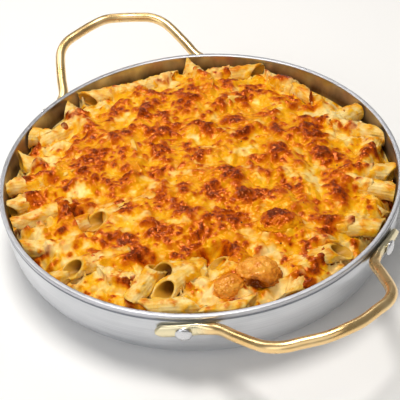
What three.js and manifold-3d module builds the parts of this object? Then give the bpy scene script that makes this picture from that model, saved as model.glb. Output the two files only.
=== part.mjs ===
// Baked penne under a browned cheese crust, in its round two-handled gratin pan.
// Millimetres, +Z up. The origin is the middle of the pan's flat base, and the near handle lies on +X.
import * as THREE from 'three';
import { mergeVertices } from 'three/addons/utils/BufferGeometryUtils.js';
import Module from 'manifold-3d';

const wasm = await Module();
wasm.setup();

// ---- Driving dimensions -------------------------------------------------------------------------

const GAP = 0.3; // kept between pieces that touch
const WELD = 1e-4; // points closer than this are one

const PAN = {
  rimRadius: 130,
  height: 44,
  wall: 3.2,
  lean: THREE.MathUtils.degToRad(5), // of the wall, outwards from the base to the rim
  cornerRadius: 20, // outside, between the base and the wall
  rimRound: 0.8,
  grooveDrop: 3, // from the rim down to the fine turned groove in the wall
  grooveWidth: 1.6,
  grooveDepth: 0.5,
  cornerSteps: 5,
  segments: 60,
};

const HANDLE = {
  rodRadius: 3.4,
  leaveAngle: THREE.MathUtils.degToRad(23.7), // where the rod leaves the wall, from the handle's middle
  endAngle: THREE.MathUtils.degToRad(38.4), // where the flattened tab ends
  leaveDrop: 7, // of the rod's middle below the rim, where it leaves the wall
  endDrop: 11.4, // and at the tab's end
  cornerAcross: 39.2, // half the width between the two bends
  cornerReach: 166.4, // from the pan's axis to the bends, before they are rounded
  cornerRise: 9.4, // above the rim
  cornerRound: 15,
  middleReach: 175.1, // from the pan's axis to the middle of the bar
  middleRise: 13.3,
  wallPoints: 4, // of the route along the wall
  turnOut: { share: 0.08, inwards: 0.6 }, // of the way from the wall to a bend, just after the rod leaves
  arm: 0.36, // of that way, where the arm runs straight
  bendPoints: 3,
  bar: { share: 0.72, bow: 1.2 }, // of the way from a bend to the middle, and how far it bows outwards
  tabHeight: 9,
  tabThickness: 4.4,
  tabEndHeight: 0.5, // the least share of its height left at its rounded end
  flattenSpan: THREE.MathUtils.degToRad(5), // over which the rod turns into the tab
  farOff: THREE.MathUtils.degToRad(3.6), // from the spot opposite the near handle to the far one
  sides: 8,
  steps: 42,
};

const RIVET = {
  angle: THREE.MathUtils.degToRad(31.2), // from the handle's middle
  drop: 9.7, // below the rim
  shankRadius: 2.4,
  headRadius: 5,
  headHeight: 2.2,
  dome: [[1, 0], [0.92, 0.45], [0.6, 0.88], [0, 1]], // shares of the head's radius and height
  holeLength: 24,
  sides: 12,
};

const FILL = {
  middle: 46.2, // the cheese's height over the base, at the middle
  edge: 39.4, // and where it ends short of the wall
  edgeRadius: 119,
  topRadii: [119, 98, 74, 48, 22], // where the top of the cheese rises and falls
  settled: 33, // where the filling meets the wall
  broadSwell: { height: 0.9, x: 17, y: 21, shiftX: 0.8, shiftY: -0.4 },
  fineSwell: { height: 0.6, x: 9.5, y: 11, shiftX: 0, shiftY: 1.3 },
};

const PENNE = {
  radius: 5.7,
  length: 42,
  cut: THREE.MathUtils.degToRad(50), // of the slanting ends
  sides: 6,
  seed: 20,
  wallGap: 0.7,
  shortest: 0.85, // of the length
  spread: { length: 0.25, around: 0.6, reach: 8, tilt: 0.3, turn: 1.3 * Math.PI, rise: 1.2 },
  rings: [
    { radius: 106, count: 18, proud: 1.6 },
    { radius: 84, count: 10, proud: 2.2 },
    { radius: 58, count: 5, proud: 2.0 },
    { radius: 32, count: 3, proud: 1.8 },
  ],
};

// The browned lumps that stand out of the cheese: half sizes along, across and up, place and turn.
const LUMPS = [
  { name: 'mushroom_cap', size: [12.2, 11.2, 8.6], at: [102.4, -14.2, 44.2], turn: 1.15, lobes: 2 },
  { name: 'mushroom_stem', size: [10.5, 7.8, 6.6], at: [102.1, -33.7, 42.8], turn: 1.85, lobes: 1 },
  { name: 'browned_lump', size: [12.8, 10, 6.2], at: [72, 17, 45.6], turn: 1.15, lobes: 3 },
];

const LUMP_FORM = {
  detail: 2,
  lobeDepth: 0.09,
  dentDepth: 0.07,
  dentAlong: 3, // how fast the dents come and go along a lump
  dentUp: 2,
  gap: 1.5 * GAP, // kept all round it
};

const COLOURS = {
  pan: { color: '#b4b6ba', metalness: 0.9, roughness: 0.38 },
  handle: { color: '#d9a441', metalness: 0.95, roughness: 0.2 },
  rivet: { color: '#c9cbcf', metalness: 0.95, roughness: 0.3 },
  filling: { color: '#f0a52e', metalness: 0, roughness: 0.5 },
  lump: { color: '#b5651d', metalness: 0, roughness: 0.5 },
};

// ---- Worked-out sizes ---------------------------------------------------------------------------

const outerRadiusAt = (z) => PAN.rimRadius - (PAN.height - z) * Math.tan(PAN.lean);
const innerRadiusAt = (z) => outerRadiusAt(z) - PAN.wall / Math.cos(PAN.lean);
const cornerCentre = outerRadiusAt(PAN.cornerRadius) - PAN.cornerRadius / Math.cos(PAN.lean);
const rivetHeight = PAN.height - RIVET.drop;
const tabInside = outerRadiusAt(rivetHeight) + GAP;

// ---- Small helpers ------------------------------------------------------------------------------

const smooth = (t) => THREE.MathUtils.smoothstep(t, 0, 1);

// Points of an arc in the (radius, height) plane.
function arc(centreR, centreZ, radius, from, to, steps) {
  const points = [];
  for (let i = 0; i <= steps; i += 1) {
    const angle = from + ((to - from) * i) / steps;
    points.push(
      new THREE.Vector2(centreR + radius * Math.cos(angle), centreZ + radius * Math.sin(angle)),
    );
  }
  return points;
}

// A profile of (radius, height) points, turned round the Z axis.
function turned(points, segments) {
  return new THREE.LatheGeometry(points, segments).rotateX(Math.PI / 2);
}

// A solid for joining and cutting, from a geometry that is closed once its equal points are merged.
function solid(geometry) {
  const bare = new THREE.BufferGeometry();
  bare.setAttribute('position', geometry.getAttribute('position'));
  bare.setIndex(geometry.getIndex());
  const merged = mergeVertices(bare, WELD);
  const kept = [];
  const index = merged.getIndex().array;
  for (let i = 0; i < index.length; i += 3) {
    const [a, b, c] = [index[i], index[i + 1], index[i + 2]];
    if (a !== b && b !== c && c !== a) kept.push(a, b, c);
  }
  const vertProperties = new Float32Array(merged.getAttribute('position').array);
  const made = new wasm.Mesh({ numProp: 3, vertProperties, triVerts: new Uint32Array(kept) });
  return new wasm.Manifold(made);
}

function geometryOf(manifold) {
  const mesh = manifold.getMesh();
  const geometry = new THREE.BufferGeometry();
  geometry.setAttribute('position', new THREE.BufferAttribute(mesh.vertProperties, 3));
  geometry.setIndex(new THREE.BufferAttribute(mesh.triVerts, 1));
  return geometry;
}

function named(name, geometry, finish) {
  const mesh = new THREE.Mesh(geometry, new THREE.MeshStandardMaterial(finish));
  mesh.name = name;
  return mesh;
}

// The same 0 to 1 numbers on each run, for what lies by chance.
function chance(seed) {
  let state = seed;
  return () => {
    state = (state * 1664525 + 1013904223) % 4294967296;
    return state / 4294967296;
  };
}

// ---- Pan ----------------------------------------------------------------------------------------

// The rivets' holes go straight outwards through the wall and the handles' tabs.
function rivetHole(angle) {
  const radius = RIVET.shankRadius + GAP;
  const hole = new THREE.CylinderGeometry(radius, radius, RIVET.holeLength, RIVET.sides);
  hole.rotateZ(Math.PI / 2);
  hole.translate(tabInside, 0, rivetHeight);
  hole.rotateZ(angle);
  return solid(hole);
}

function panShell() {
  const { height, wall, lean, cornerRadius, rimRound, grooveDrop, grooveWidth, grooveDepth } = PAN;
  const grooveTop = height - grooveDrop;
  const grooveFoot = grooveTop - grooveWidth;
  const profile = [
    new THREE.Vector2(0, 0),
    ...arc(cornerCentre, cornerRadius, cornerRadius, -Math.PI / 2, -lean, PAN.cornerSteps),
    new THREE.Vector2(outerRadiusAt(grooveFoot), grooveFoot),
    new THREE.Vector2(outerRadiusAt(grooveTop) - grooveDepth, (grooveTop + grooveFoot) / 2),
    new THREE.Vector2(outerRadiusAt(grooveTop), grooveTop),
    new THREE.Vector2(PAN.rimRadius, height - rimRound),
    new THREE.Vector2(PAN.rimRadius - rimRound, height),
    new THREE.Vector2(innerRadiusAt(height) + rimRound, height),
    new THREE.Vector2(innerRadiusAt(height - rimRound), height - rimRound),
    ...arc(cornerCentre, cornerRadius, cornerRadius - wall, -lean, -Math.PI / 2, PAN.cornerSteps),
    new THREE.Vector2(0, wall),
  ];
  return turned(profile, PAN.segments);
}

function pan(holes) {
  const shell = holes.reduce((left, hole) => left.subtract(hole), solid(panShell()));
  return named('pan', geometryOf(shell), COLOURS.pan);
}

// ---- Handles ------------------------------------------------------------------------------------

// Height of the rod's middle where it lies along the wall.
function wallRunHeight(angle) {
  const t = (angle - HANDLE.leaveAngle) / (HANDLE.endAngle - HANDLE.leaveAngle);
  return PAN.height - THREE.MathUtils.lerp(HANDLE.leaveDrop, HANDLE.endDrop, t);
}

function wallRunPoint(angle) {
  const reach = tabInside + HANDLE.rodRadius;
  return new THREE.Vector3(reach * Math.cos(angle), reach * Math.sin(angle), wallRunHeight(angle));
}

// Half of the rod's route at the +X side, from the tab's end on +Y to just before the bar's middle.
function halfRoute() {
  const { leaveAngle, endAngle, cornerRound, wallPoints, turnOut, bar } = HANDLE;
  const rise = PAN.height;
  const leave = wallRunPoint(leaveAngle);
  const corner = new THREE.Vector3(HANDLE.cornerReach, HANDLE.cornerAcross, rise + HANDLE.cornerRise);
  const middle = new THREE.Vector3(HANDLE.middleReach, 0, rise + HANDLE.middleRise);
  const points = [];
  for (let i = 0; i < wallPoints; i += 1) {
    points.push(wallRunPoint(THREE.MathUtils.lerp(endAngle, leaveAngle, i / wallPoints)));
  }
  points.push(leave.clone().lerp(corner, turnOut.share).add(new THREE.Vector3(-turnOut.inwards, 0, 0)));
  points.push(leave.clone().lerp(corner, HANDLE.arm));
  const before = corner.clone().lerp(leave, cornerRound / corner.distanceTo(leave));
  const after = corner.clone().lerp(middle, cornerRound / corner.distanceTo(middle));
  const bend = new THREE.QuadraticBezierCurve3(before, corner, after);
  points.push(...bend.getPoints(HANDLE.bendPoints));
  points.push(corner.clone().lerp(middle, bar.share).add(new THREE.Vector3(bar.bow, 0, 0)));
  return points;
}

// How flat the rod is at an angle from the handle's middle: 0 is round, 1 is the tab.
function flatness(angle) {
  return smooth((Math.abs(angle) - HANDLE.leaveAngle) / HANDLE.flattenSpan);
}

// How much of its height the tab has left near its rounded end.
function endTaper(angle) {
  const roundSpan = HANDLE.tabHeight / 2 / (tabInside + HANDLE.rodRadius);
  const t = (Math.abs(angle) - (HANDLE.endAngle - roundSpan)) / roundSpan;
  return t <= 0 ? 1 : Math.max(HANDLE.tabEndHeight, Math.sqrt(Math.max(0, 1 - t * t)));
}

// The round rod along its route, with its two ends hammered flat against the wall.
function handleRod() {
  const half = halfRoute();
  const middle = new THREE.Vector3(HANDLE.middleReach, 0, PAN.height + HANDLE.middleRise);
  const otherHalf = half.map((p) => new THREE.Vector3(p.x, -p.y, p.z)).reverse();
  const route = new THREE.CatmullRomCurve3([...half, middle, ...otherHalf], false, 'centripetal');
  const section = new THREE.Shape();
  for (let i = 0; i < HANDLE.sides; i += 1) {
    const angle = (2 * Math.PI * i) / HANDLE.sides;
    const x = HANDLE.rodRadius * Math.cos(angle);
    const y = HANDLE.rodRadius * Math.sin(angle);
    if (i === 0) section.moveTo(x, y);
    else section.lineTo(x, y);
  }
  const rod = new THREE.ExtrudeGeometry(section, { steps: HANDLE.steps, extrudePath: route });
  const place = rod.getAttribute('position');
  const squeeze = HANDLE.tabThickness / (2 * HANDLE.rodRadius) - 1;
  const stretch = HANDLE.tabHeight / (2 * HANDLE.rodRadius) - 1;
  for (let i = 0; i < place.count; i += 1) {
    const [x, y, z] = [place.getX(i), place.getY(i), place.getZ(i)];
    const angle = Math.atan2(y, x);
    const flat = flatness(angle);
    if (flat > 0) {
      const reach = tabInside + (Math.hypot(x, y) - tabInside) * (1 + squeeze * flat);
      const axisZ = wallRunHeight(Math.min(Math.abs(angle), HANDLE.endAngle));
      const height = axisZ + (z - axisZ) * (1 + stretch * flat) * endTaper(angle);
      place.setXYZ(i, reach * Math.cos(angle), reach * Math.sin(angle), height);
    }
  }
  return rod;
}

function handle(name, side, holes) {
  const rod = solid(handleRod().rotateZ(side));
  const drilled = holes.reduce((left, hole) => left.subtract(hole), rod);
  return named(name, geometryOf(drilled), COLOURS.handle);
}

// A rivet lies along its own Y axis: shank from just inside the pan's wall, domed head outside the tab.
function rivet(name, angle) {
  const { shankRadius, headRadius, headHeight } = RIVET;
  const inside = innerRadiusAt(rivetHeight) + GAP;
  const headFoot = tabInside + HANDLE.tabThickness + GAP;
  const profile = [
    new THREE.Vector2(0, inside),
    new THREE.Vector2(shankRadius, inside),
    new THREE.Vector2(shankRadius, headFoot),
    ...RIVET.dome.map(([out, up]) => new THREE.Vector2(headRadius * out, headFoot + headHeight * up)),
  ];
  const mesh = named(name, new THREE.LatheGeometry(profile, RIVET.sides), COLOURS.rivet);
  mesh.rotation.set(0, 0, angle - Math.PI / 2);
  mesh.position.z = rivetHeight;
  return mesh;
}

// ---- Filling ------------------------------------------------------------------------------------

// The soft swell of the cheese from place to place.
function swell(x, y) {
  const { broadSwell: broad, fineSwell: fine } = FILL;
  const slow = Math.sin(x / broad.x + broad.shiftX) * Math.cos(y / broad.y + broad.shiftY);
  const quick = Math.sin((x + y) / fine.x + fine.shiftX) * Math.sin((x - y) / fine.y + fine.shiftY);
  return broad.height * slow + fine.height * quick;
}

function cheeseHeight(x, y) {
  const t = Math.min(1, Math.hypot(x, y) / FILL.edgeRadius);
  return THREE.MathUtils.lerp(FILL.middle, FILL.edge, t * t) + swell(x, y);
}

// Everything under the outermost pasta: it follows the pan's inside and ends in a ragged top.
function fillingCore() {
  const clear = PAN.wall + GAP;
  const wallTop = new THREE.Vector2(innerRadiusAt(FILL.settled) - GAP, FILL.settled);
  const { cornerRadius, lean, cornerSteps } = PAN;
  const profile = [
    new THREE.Vector2(0, clear),
    ...arc(cornerCentre, cornerRadius, cornerRadius - clear, -Math.PI / 2, -lean, cornerSteps),
    wallTop,
    ...FILL.topRadii.map((radius) => new THREE.Vector2(radius, FILL.middle)),
    new THREE.Vector2(0, FILL.middle),
  ];
  const core = turned(profile, PAN.segments);
  const place = core.getAttribute('position');
  for (let i = 0; i < place.count; i += 1) {
    if (place.getZ(i) > FILL.settled + GAP) {
      place.setZ(i, cheeseHeight(place.getX(i), place.getY(i)));
    }
  }
  return core;
}

// One penne: a tube's outer form with both ends cut on the slant, lying along X.
function penneForm(length) {
  const form = new THREE.CylinderGeometry(PENNE.radius, PENNE.radius, length, PENNE.sides);
  form.rotateZ(Math.PI / 2);
  const place = form.getAttribute('position');
  for (let i = 0; i < place.count; i += 1) {
    place.setX(i, place.getX(i) + place.getZ(i) * Math.tan(PENNE.cut));
  }
  return form;
}

// Keeps a point of the pasta inside the pan, clear of the wall.
function insideWall(place, i) {
  const [x, y, z] = [place.getX(i), place.getY(i), place.getZ(i)];
  const most = innerRadiusAt(Math.max(z, PAN.cornerRadius)) - PENNE.wallGap;
  const reach = Math.hypot(x, y);
  if (reach > most) place.setXY(i, (x * most) / reach, (y * most) / reach);
}

// The pasta that shows at the top, lying every way in rings that thin out towards the middle.
function topPasta() {
  const draw = chance(PENNE.seed);
  const { spread } = PENNE;
  const pieces = [];
  PENNE.rings.forEach((ring) => {
    for (let i = 0; i < ring.count; i += 1) {
      const form = penneForm(PENNE.length * (PENNE.shortest + spread.length * draw()));
      const around = (2 * Math.PI * (i + spread.around * draw())) / ring.count;
      const reach = ring.radius + spread.reach * (draw() - 0.5);
      const [x, y] = [reach * Math.cos(around), reach * Math.sin(around)];
      form.rotateX(2 * Math.PI * draw());
      form.rotateY(spread.tilt * (draw() - 0.5));
      form.rotateZ(around + spread.turn * (draw() - 0.5));
      const rise = ring.proud + spread.rise * (draw() - 0.5);
      form.translate(x, y, cheeseHeight(x, y) - PENNE.radius + rise);
      const place = form.getAttribute('position');
      for (let k = 0; k < place.count; k += 1) insideWall(place, k);
      pieces.push(solid(form));
    }
  });
  return pieces;
}

// ---- Lumps on top -------------------------------------------------------------------------------

// A rounded lump with a few lobes, as large as its sizes and by grow more all round.
function lumpForm({ size, at, turn, lobes }, grow) {
  const { detail, lobeDepth, dentDepth, dentAlong, dentUp } = LUMP_FORM;
  const form = new THREE.IcosahedronGeometry(1, detail);
  const place = form.getAttribute('position');
  for (let i = 0; i < place.count; i += 1) {
    const [x, y, z] = [place.getX(i), place.getY(i), place.getZ(i)];
    const lobe = 1 + lobeDepth * Math.sin(lobes * Math.atan2(y, x) + at[0]) * (1 - z * z);
    const dent = 1 - dentDepth * Math.cos(dentAlong * x + dentUp * z + turn);
    const swollen = lobe * dent;
    place.setXYZ(i, x * (size[0] * swollen + grow), y * (size[1] * swollen + grow), z * (size[2] + grow));
  }
  return form.rotateZ(turn).translate(...at);
}

// A solid with the room of some lumps taken out of it.
function clearOf(lumps, whole) {
  return lumps.reduce((rest, lump) => rest.subtract(solid(lumpForm(lump, LUMP_FORM.gap))), whole);
}

// A lump gives way to the ones before it.
function lump(index) {
  const whole = solid(lumpForm(LUMPS[index], 0));
  return named(LUMPS[index].name, geometryOf(clearOf(LUMPS.slice(0, index), whole)), COLOURS.lump);
}

function filling() {
  const heap = topPasta().reduce((joined, piece) => joined.add(piece), solid(fillingCore()));
  return named('baked_penne', geometryOf(clearOf(LUMPS, heap)), COLOURS.filling);
}

// ---- Assembly -----------------------------------------------------------------------------------

const part = new THREE.Group();
const SIDES = [
  { label: 'near', angle: 0 },
  { label: 'far', angle: Math.PI - HANDLE.farOff },
];
const rivetPlaces = SIDES.flatMap(({ label, angle }) => [
  { side: label, name: `rivet_${label}_left`, angle: angle - RIVET.angle },
  { side: label, name: `rivet_${label}_right`, angle: angle + RIVET.angle },
]);

part.add(pan(rivetPlaces.map((place) => rivetHole(place.angle))));
SIDES.forEach(({ label, angle }) => {
  const holes = rivetPlaces.filter((place) => place.side === label).map((place) => rivetHole(place.angle));
  part.add(handle(`handle_${label}`, angle, holes));
});
rivetPlaces.forEach((place) => part.add(rivet(place.name, place.angle)));
part.add(filling());
LUMPS.forEach((_, index) => part.add(lump(index)));

export default part;
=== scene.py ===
"""Baked penne under a browned cheese crust in its round two-handled pan."""
import logging
import math
import random
from dataclasses import dataclass, field
from enum import Enum

import bmesh
import bpy
import numpy as np
from mathutils import Matrix, Vector, noise


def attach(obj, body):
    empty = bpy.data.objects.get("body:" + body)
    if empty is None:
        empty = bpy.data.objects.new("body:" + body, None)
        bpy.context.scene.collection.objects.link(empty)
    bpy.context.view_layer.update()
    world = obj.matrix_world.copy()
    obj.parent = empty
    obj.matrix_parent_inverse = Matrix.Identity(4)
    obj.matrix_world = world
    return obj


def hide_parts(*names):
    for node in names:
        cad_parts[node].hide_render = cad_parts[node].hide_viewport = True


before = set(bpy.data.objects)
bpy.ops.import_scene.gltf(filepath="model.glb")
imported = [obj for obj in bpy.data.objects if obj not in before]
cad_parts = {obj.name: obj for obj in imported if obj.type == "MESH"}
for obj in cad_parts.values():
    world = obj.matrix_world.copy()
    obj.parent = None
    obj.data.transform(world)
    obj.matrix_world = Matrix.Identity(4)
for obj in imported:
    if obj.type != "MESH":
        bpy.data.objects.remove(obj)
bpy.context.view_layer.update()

LOG = logging.getLogger("baked_penne")
MM = 0.001
MERGE = 1e-4  # mm, under which vertices are one
BODY = "root"

Profile = list[tuple[float, float]]
Window = tuple[slice, slice]
Geometry = list[bmesh.types.BMVert | bmesh.types.BMEdge]


# ---- Nodes and colours --------------------------------------------------------------------------


def linear(code: str, alpha: float = 1.0) -> tuple[float, float, float, float]:
    """Turns an sRGB hex colour into linear values.

    Args:
        code: the colour as "#rrggbb".
        alpha: its opacity.

    Returns:
        Linear red, green, blue and alpha.
    """
    parts = [int(code[i : i + 2], 16) / 255 for i in (1, 3, 5)]
    flat = [c / 12.92 if c <= 0.04045 else ((c + 0.055) / 1.055) ** 2.4 for c in parts]
    return flat[0], flat[1], flat[2], alpha


def add_node(
    tree: bpy.types.NodeTree, kind: str, settings: dict | None = None, links: dict | None = None
) -> bpy.types.Node:
    """Adds a node, sets its properties and sockets, and links its inputs.

    Args:
        tree: the node tree it goes into.
        kind: the node's type name.
        settings: values by property name, or by input name or number; "stops" fills a colour ramp.
        links: what feeds each input, by its name or number: an output socket, or a node for its first one.

    Returns:
        The new node.
    """
    node = tree.nodes.new(kind)
    for name, value in (settings or {}).items():
        if name == "stops":
            ramp = node.color_ramp.elements
            while len(ramp) < len(value):
                ramp.new(0.5)
            for element, (place, code) in zip(ramp, value):
                element.position = place
                element.color = linear(code)
        elif isinstance(name, str) and hasattr(node, name):
            setattr(node, name, value)
        else:
            node.inputs[name].default_value = value
    for name, source in (links or {}).items():
        output = source.outputs[0] if isinstance(source, bpy.types.Node) else source
        tree.links.new(output, node.inputs[name])
    return node


def per_mm(size: float) -> float:
    """Texture scale on Object coordinates, in metres, for a feature size in millimetres."""
    return 1 / (size * MM)


def new_material(
    name: str,
) -> tuple[bpy.types.Material, bpy.types.NodeTree, bpy.types.NodeSocket, bpy.types.Node]:
    """Makes a node material without a surface.

    Args:
        name: the material's name.

    Returns:
        The material, its tree, the socket that gives a point's place on the object, and the output node.
    """
    material = bpy.data.materials.new(name)
    material.use_nodes = True
    tree = material.node_tree
    tree.nodes.clear()
    out = tree.nodes.new("ShaderNodeOutputMaterial")
    return material, tree, add_node(tree, "ShaderNodeTexCoord").outputs["Object"], out


# ---- Metal finishes -----------------------------------------------------------------------------


@dataclass(frozen=True)
class SatinSteel:
    """Spun stainless steel, satin polished in rings: pale grey with fine level lines and soft glare."""

    name: str = "spun_satin_steel"
    light: str = "#d9dbdf"
    dark: str = "#bdc0c5"
    roughness: float = 0.33
    line: float = 0.35  # mm between polishing lines, drawn coarser than the real grit so they show
    line_length: float = 60.0  # mm
    cloud: float = 45.0  # mm, of the soft changes of tone
    line_depth: float = 0.02  # mm

    def make(self) -> bpy.types.Material:
        """Builds the material.

        Returns:
            The material.
        """
        material, tree, place, out = new_material(self.name)
        along = per_mm(self.line_length)
        rings = add_node(
            tree, "ShaderNodeMapping", {"Scale": (along, along, per_mm(self.line))}, {"Vector": place}
        )
        lines = add_node(tree, "ShaderNodeTexNoise", {"Scale": 1.0, "Detail": 3.0}, {"Vector": rings})
        cloud = add_node(
            tree, "ShaderNodeTexNoise", {"Scale": per_mm(self.cloud), "Detail": 2.0}, {"Vector": place}
        )
        both = add_node(tree, "ShaderNodeMath", {"operation": "ADD"}, {0: lines, 1: cloud})
        tone = add_node(tree, "ShaderNodeMapRange", {"From Min": 0.7, "From Max": 1.3}, {"Value": both})
        colour = add_node(
            tree, "ShaderNodeMix", {"data_type": "RGBA", 6: linear(self.dark), 7: linear(self.light)},
            {0: tone},
        )
        rough = add_node(
            tree, "ShaderNodeMapRange", {"To Min": self.roughness - 0.05, "To Max": self.roughness + 0.06},
            {"Value": lines},
        )
        bump = add_node(
            tree, "ShaderNodeBump", {"Strength": 0.12, "Distance": self.line_depth * MM}, {"Height": lines}
        )
        shader = add_node(
            tree, "ShaderNodeBsdfPrincipled", {"Metallic": 1.0},
            {"Base Color": colour.outputs[2], "Roughness": rough, "Normal": bump},
        )
        tree.links.new(shader.outputs[0], out.inputs[0])
        return material


@dataclass(frozen=True)
class PolishedRim:
    """The same steel, ground and buffed at the rim: bright, with faint rub marks."""

    name: str = "buffed_steel_rim"
    colour: str = "#cbccd2"
    roughness: float = 0.38
    rub: float = 4.0  # mm, of the rub marks

    def make(self) -> bpy.types.Material:
        """Builds the material.

        Returns:
            The material.
        """
        material, tree, place, out = new_material(self.name)
        rubs = add_node(
            tree, "ShaderNodeTexNoise", {"Scale": per_mm(self.rub), "Detail": 5.0}, {"Vector": place}
        )
        least, most = self.roughness - 0.05, self.roughness + 0.12
        rough = add_node(
            tree, "ShaderNodeMapRange", {"From Min": 0.3, "From Max": 0.7, "To Min": least, "To Max": most},
            {"Value": rubs},
        )
        shader = add_node(
            tree, "ShaderNodeBsdfPrincipled", {"Metallic": 1.0, "Base Color": linear(self.colour)},
            {"Roughness": rough},
        )
        tree.links.new(shader.outputs[0], out.inputs[0])
        return material


@dataclass(frozen=True)
class StainedSteel:
    """Steel inside the pan, filmed with fat and browned sauce from the oven: warm taupe, darkest low down."""

    name: str = "oven_stained_steel"
    clean: str = "#c6bdae"
    stained: str = "#a28f72"
    burnt: str = "#4e3a22"
    clear_height: float = 42.5  # mm over the base, above which the film is thin
    thick_height: float = 32.5  # and below which it is thick
    run_width: float = 9.0  # mm, of the stains, which run down the wall
    run_length: float = 22.0  # mm

    def make(self) -> bpy.types.Material:
        """Builds the material.

        Returns:
            The material.
        """
        material, tree, place, out = new_material(self.name)
        axes = add_node(tree, "ShaderNodeSeparateXYZ", {}, {0: place})
        depth = add_node(
            tree,
            "ShaderNodeMapRange",
            {"From Min": self.clear_height * MM, "From Max": self.thick_height * MM},
            {"Value": axes.outputs[2]},
        )
        wide = per_mm(self.run_width)
        runs = add_node(
            tree, "ShaderNodeMapping", {"Scale": (wide, wide, per_mm(self.run_length))}, {"Vector": place}
        )
        blotch = add_node(tree, "ShaderNodeTexNoise", {"Scale": 1.0, "Detail": 6.0}, {"Vector": runs})
        uneven = add_node(
            tree, "ShaderNodeMapRange", {"From Min": 0.25, "From Max": 0.75, "To Min": -0.3, "To Max": 0.3},
            {"Value": blotch},
        )
        film = add_node(
            tree, "ShaderNodeMath", {"operation": "ADD", "use_clamp": True}, {0: depth, 1: uneven}
        )
        colour = add_node(
            tree,
            "ShaderNodeValToRGB",
            {"stops": [(0.0, self.clean), (0.45, self.stained), (1.0, self.burnt)]},
            {0: film},
        )
        metal = add_node(tree, "ShaderNodeMapRange", {"To Min": 0.95, "To Max": 0.3}, {"Value": film})
        rough = add_node(tree, "ShaderNodeMapRange", {"To Min": 0.3, "To Max": 0.5}, {"Value": film})
        shader = add_node(
            tree, "ShaderNodeBsdfPrincipled", {},
            {"Base Color": colour, "Metallic": metal, "Roughness": rough},
        )
        tree.links.new(shader.outputs[0], out.inputs[0])
        return material


@dataclass(frozen=True)
class PolishedBrass:
    """Drawn brass rod, buffed bright: warm yellow metal, with a painted pale reflection of the white
    surroundings where it is hammered flat.
    """

    name: str = "polished_brass"
    deep: str = "#efbb66"
    bright: str = "#ffe9ba"
    # painted reflection: the pale colour the flat tabs get, as if reflecting white
    tab_white_reflection: str = "#efe3bd"
    roughness: float = 0.24
    cloud: float = 14.0  # mm, of the changes of tone
    mark: float = 1.4  # mm, of the fine handling marks
    mark_depth: float = 0.03  # mm

    def make(self) -> bpy.types.Material:
        """Builds the material. The mesh's "hammered" attribute says where the rod is flat, which is coloured
        with a painted pale reflection.

        Returns:
            The material.
        """
        material, tree, place, out = new_material(self.name)
        cloud = add_node(
            tree, "ShaderNodeTexNoise", {"Scale": per_mm(self.cloud), "Detail": 4.0}, {"Vector": place}
        )
        brass = add_node(
            tree, "ShaderNodeMix", {"data_type": "RGBA", 6: linear(self.deep), 7: linear(self.bright)},
            {0: cloud},
        )
        # painted reflection: where the rod is hammered flat its colour turns pale, as if reflecting white
        hammered = add_node(tree, "ShaderNodeAttribute", {"attribute_name": "hammered"})
        colour = add_node(
            tree, "ShaderNodeMix", {"data_type": "RGBA", 7: linear(self.tab_white_reflection)},
            {0: hammered.outputs["Fac"], 6: brass.outputs[2]},
        )
        marks = add_node(
            tree, "ShaderNodeTexNoise", {"Scale": per_mm(self.mark), "Detail": 3.0}, {"Vector": place}
        )
        rough = add_node(
            tree,
            "ShaderNodeMapRange",
            {"From Min": 0.35, "From Max": 0.7, "To Min": self.roughness, "To Max": self.roughness + 0.14},
            {"Value": cloud},
        )
        bump = add_node(
            tree, "ShaderNodeBump", {"Strength": 0.1, "Distance": self.mark_depth * MM}, {"Height": marks}
        )
        shader = add_node(
            tree, "ShaderNodeBsdfPrincipled", {"Metallic": 1.0},
            {"Base Color": colour.outputs[2], "Roughness": rough, "Normal": bump},
        )
        tree.links.new(shader.outputs[0], out.inputs[0])
        return material


# ---- Food finishes ------------------------------------------------------------------------------

# Cheese as it toasts, from melted to burnt.
TOASTING = (
    (0.00, "#f5d062"),
    (0.09, "#f4c02c"),
    (0.20, "#f4b416"),
    (0.34, "#ea9f06"),
    (0.48, "#e29105"),
    (0.61, "#d77b03"),
    (0.73, "#c96102"),
    (0.84, "#b64b00"),
    (0.93, "#963601"),
    (1.00, "#682402"),
)


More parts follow.
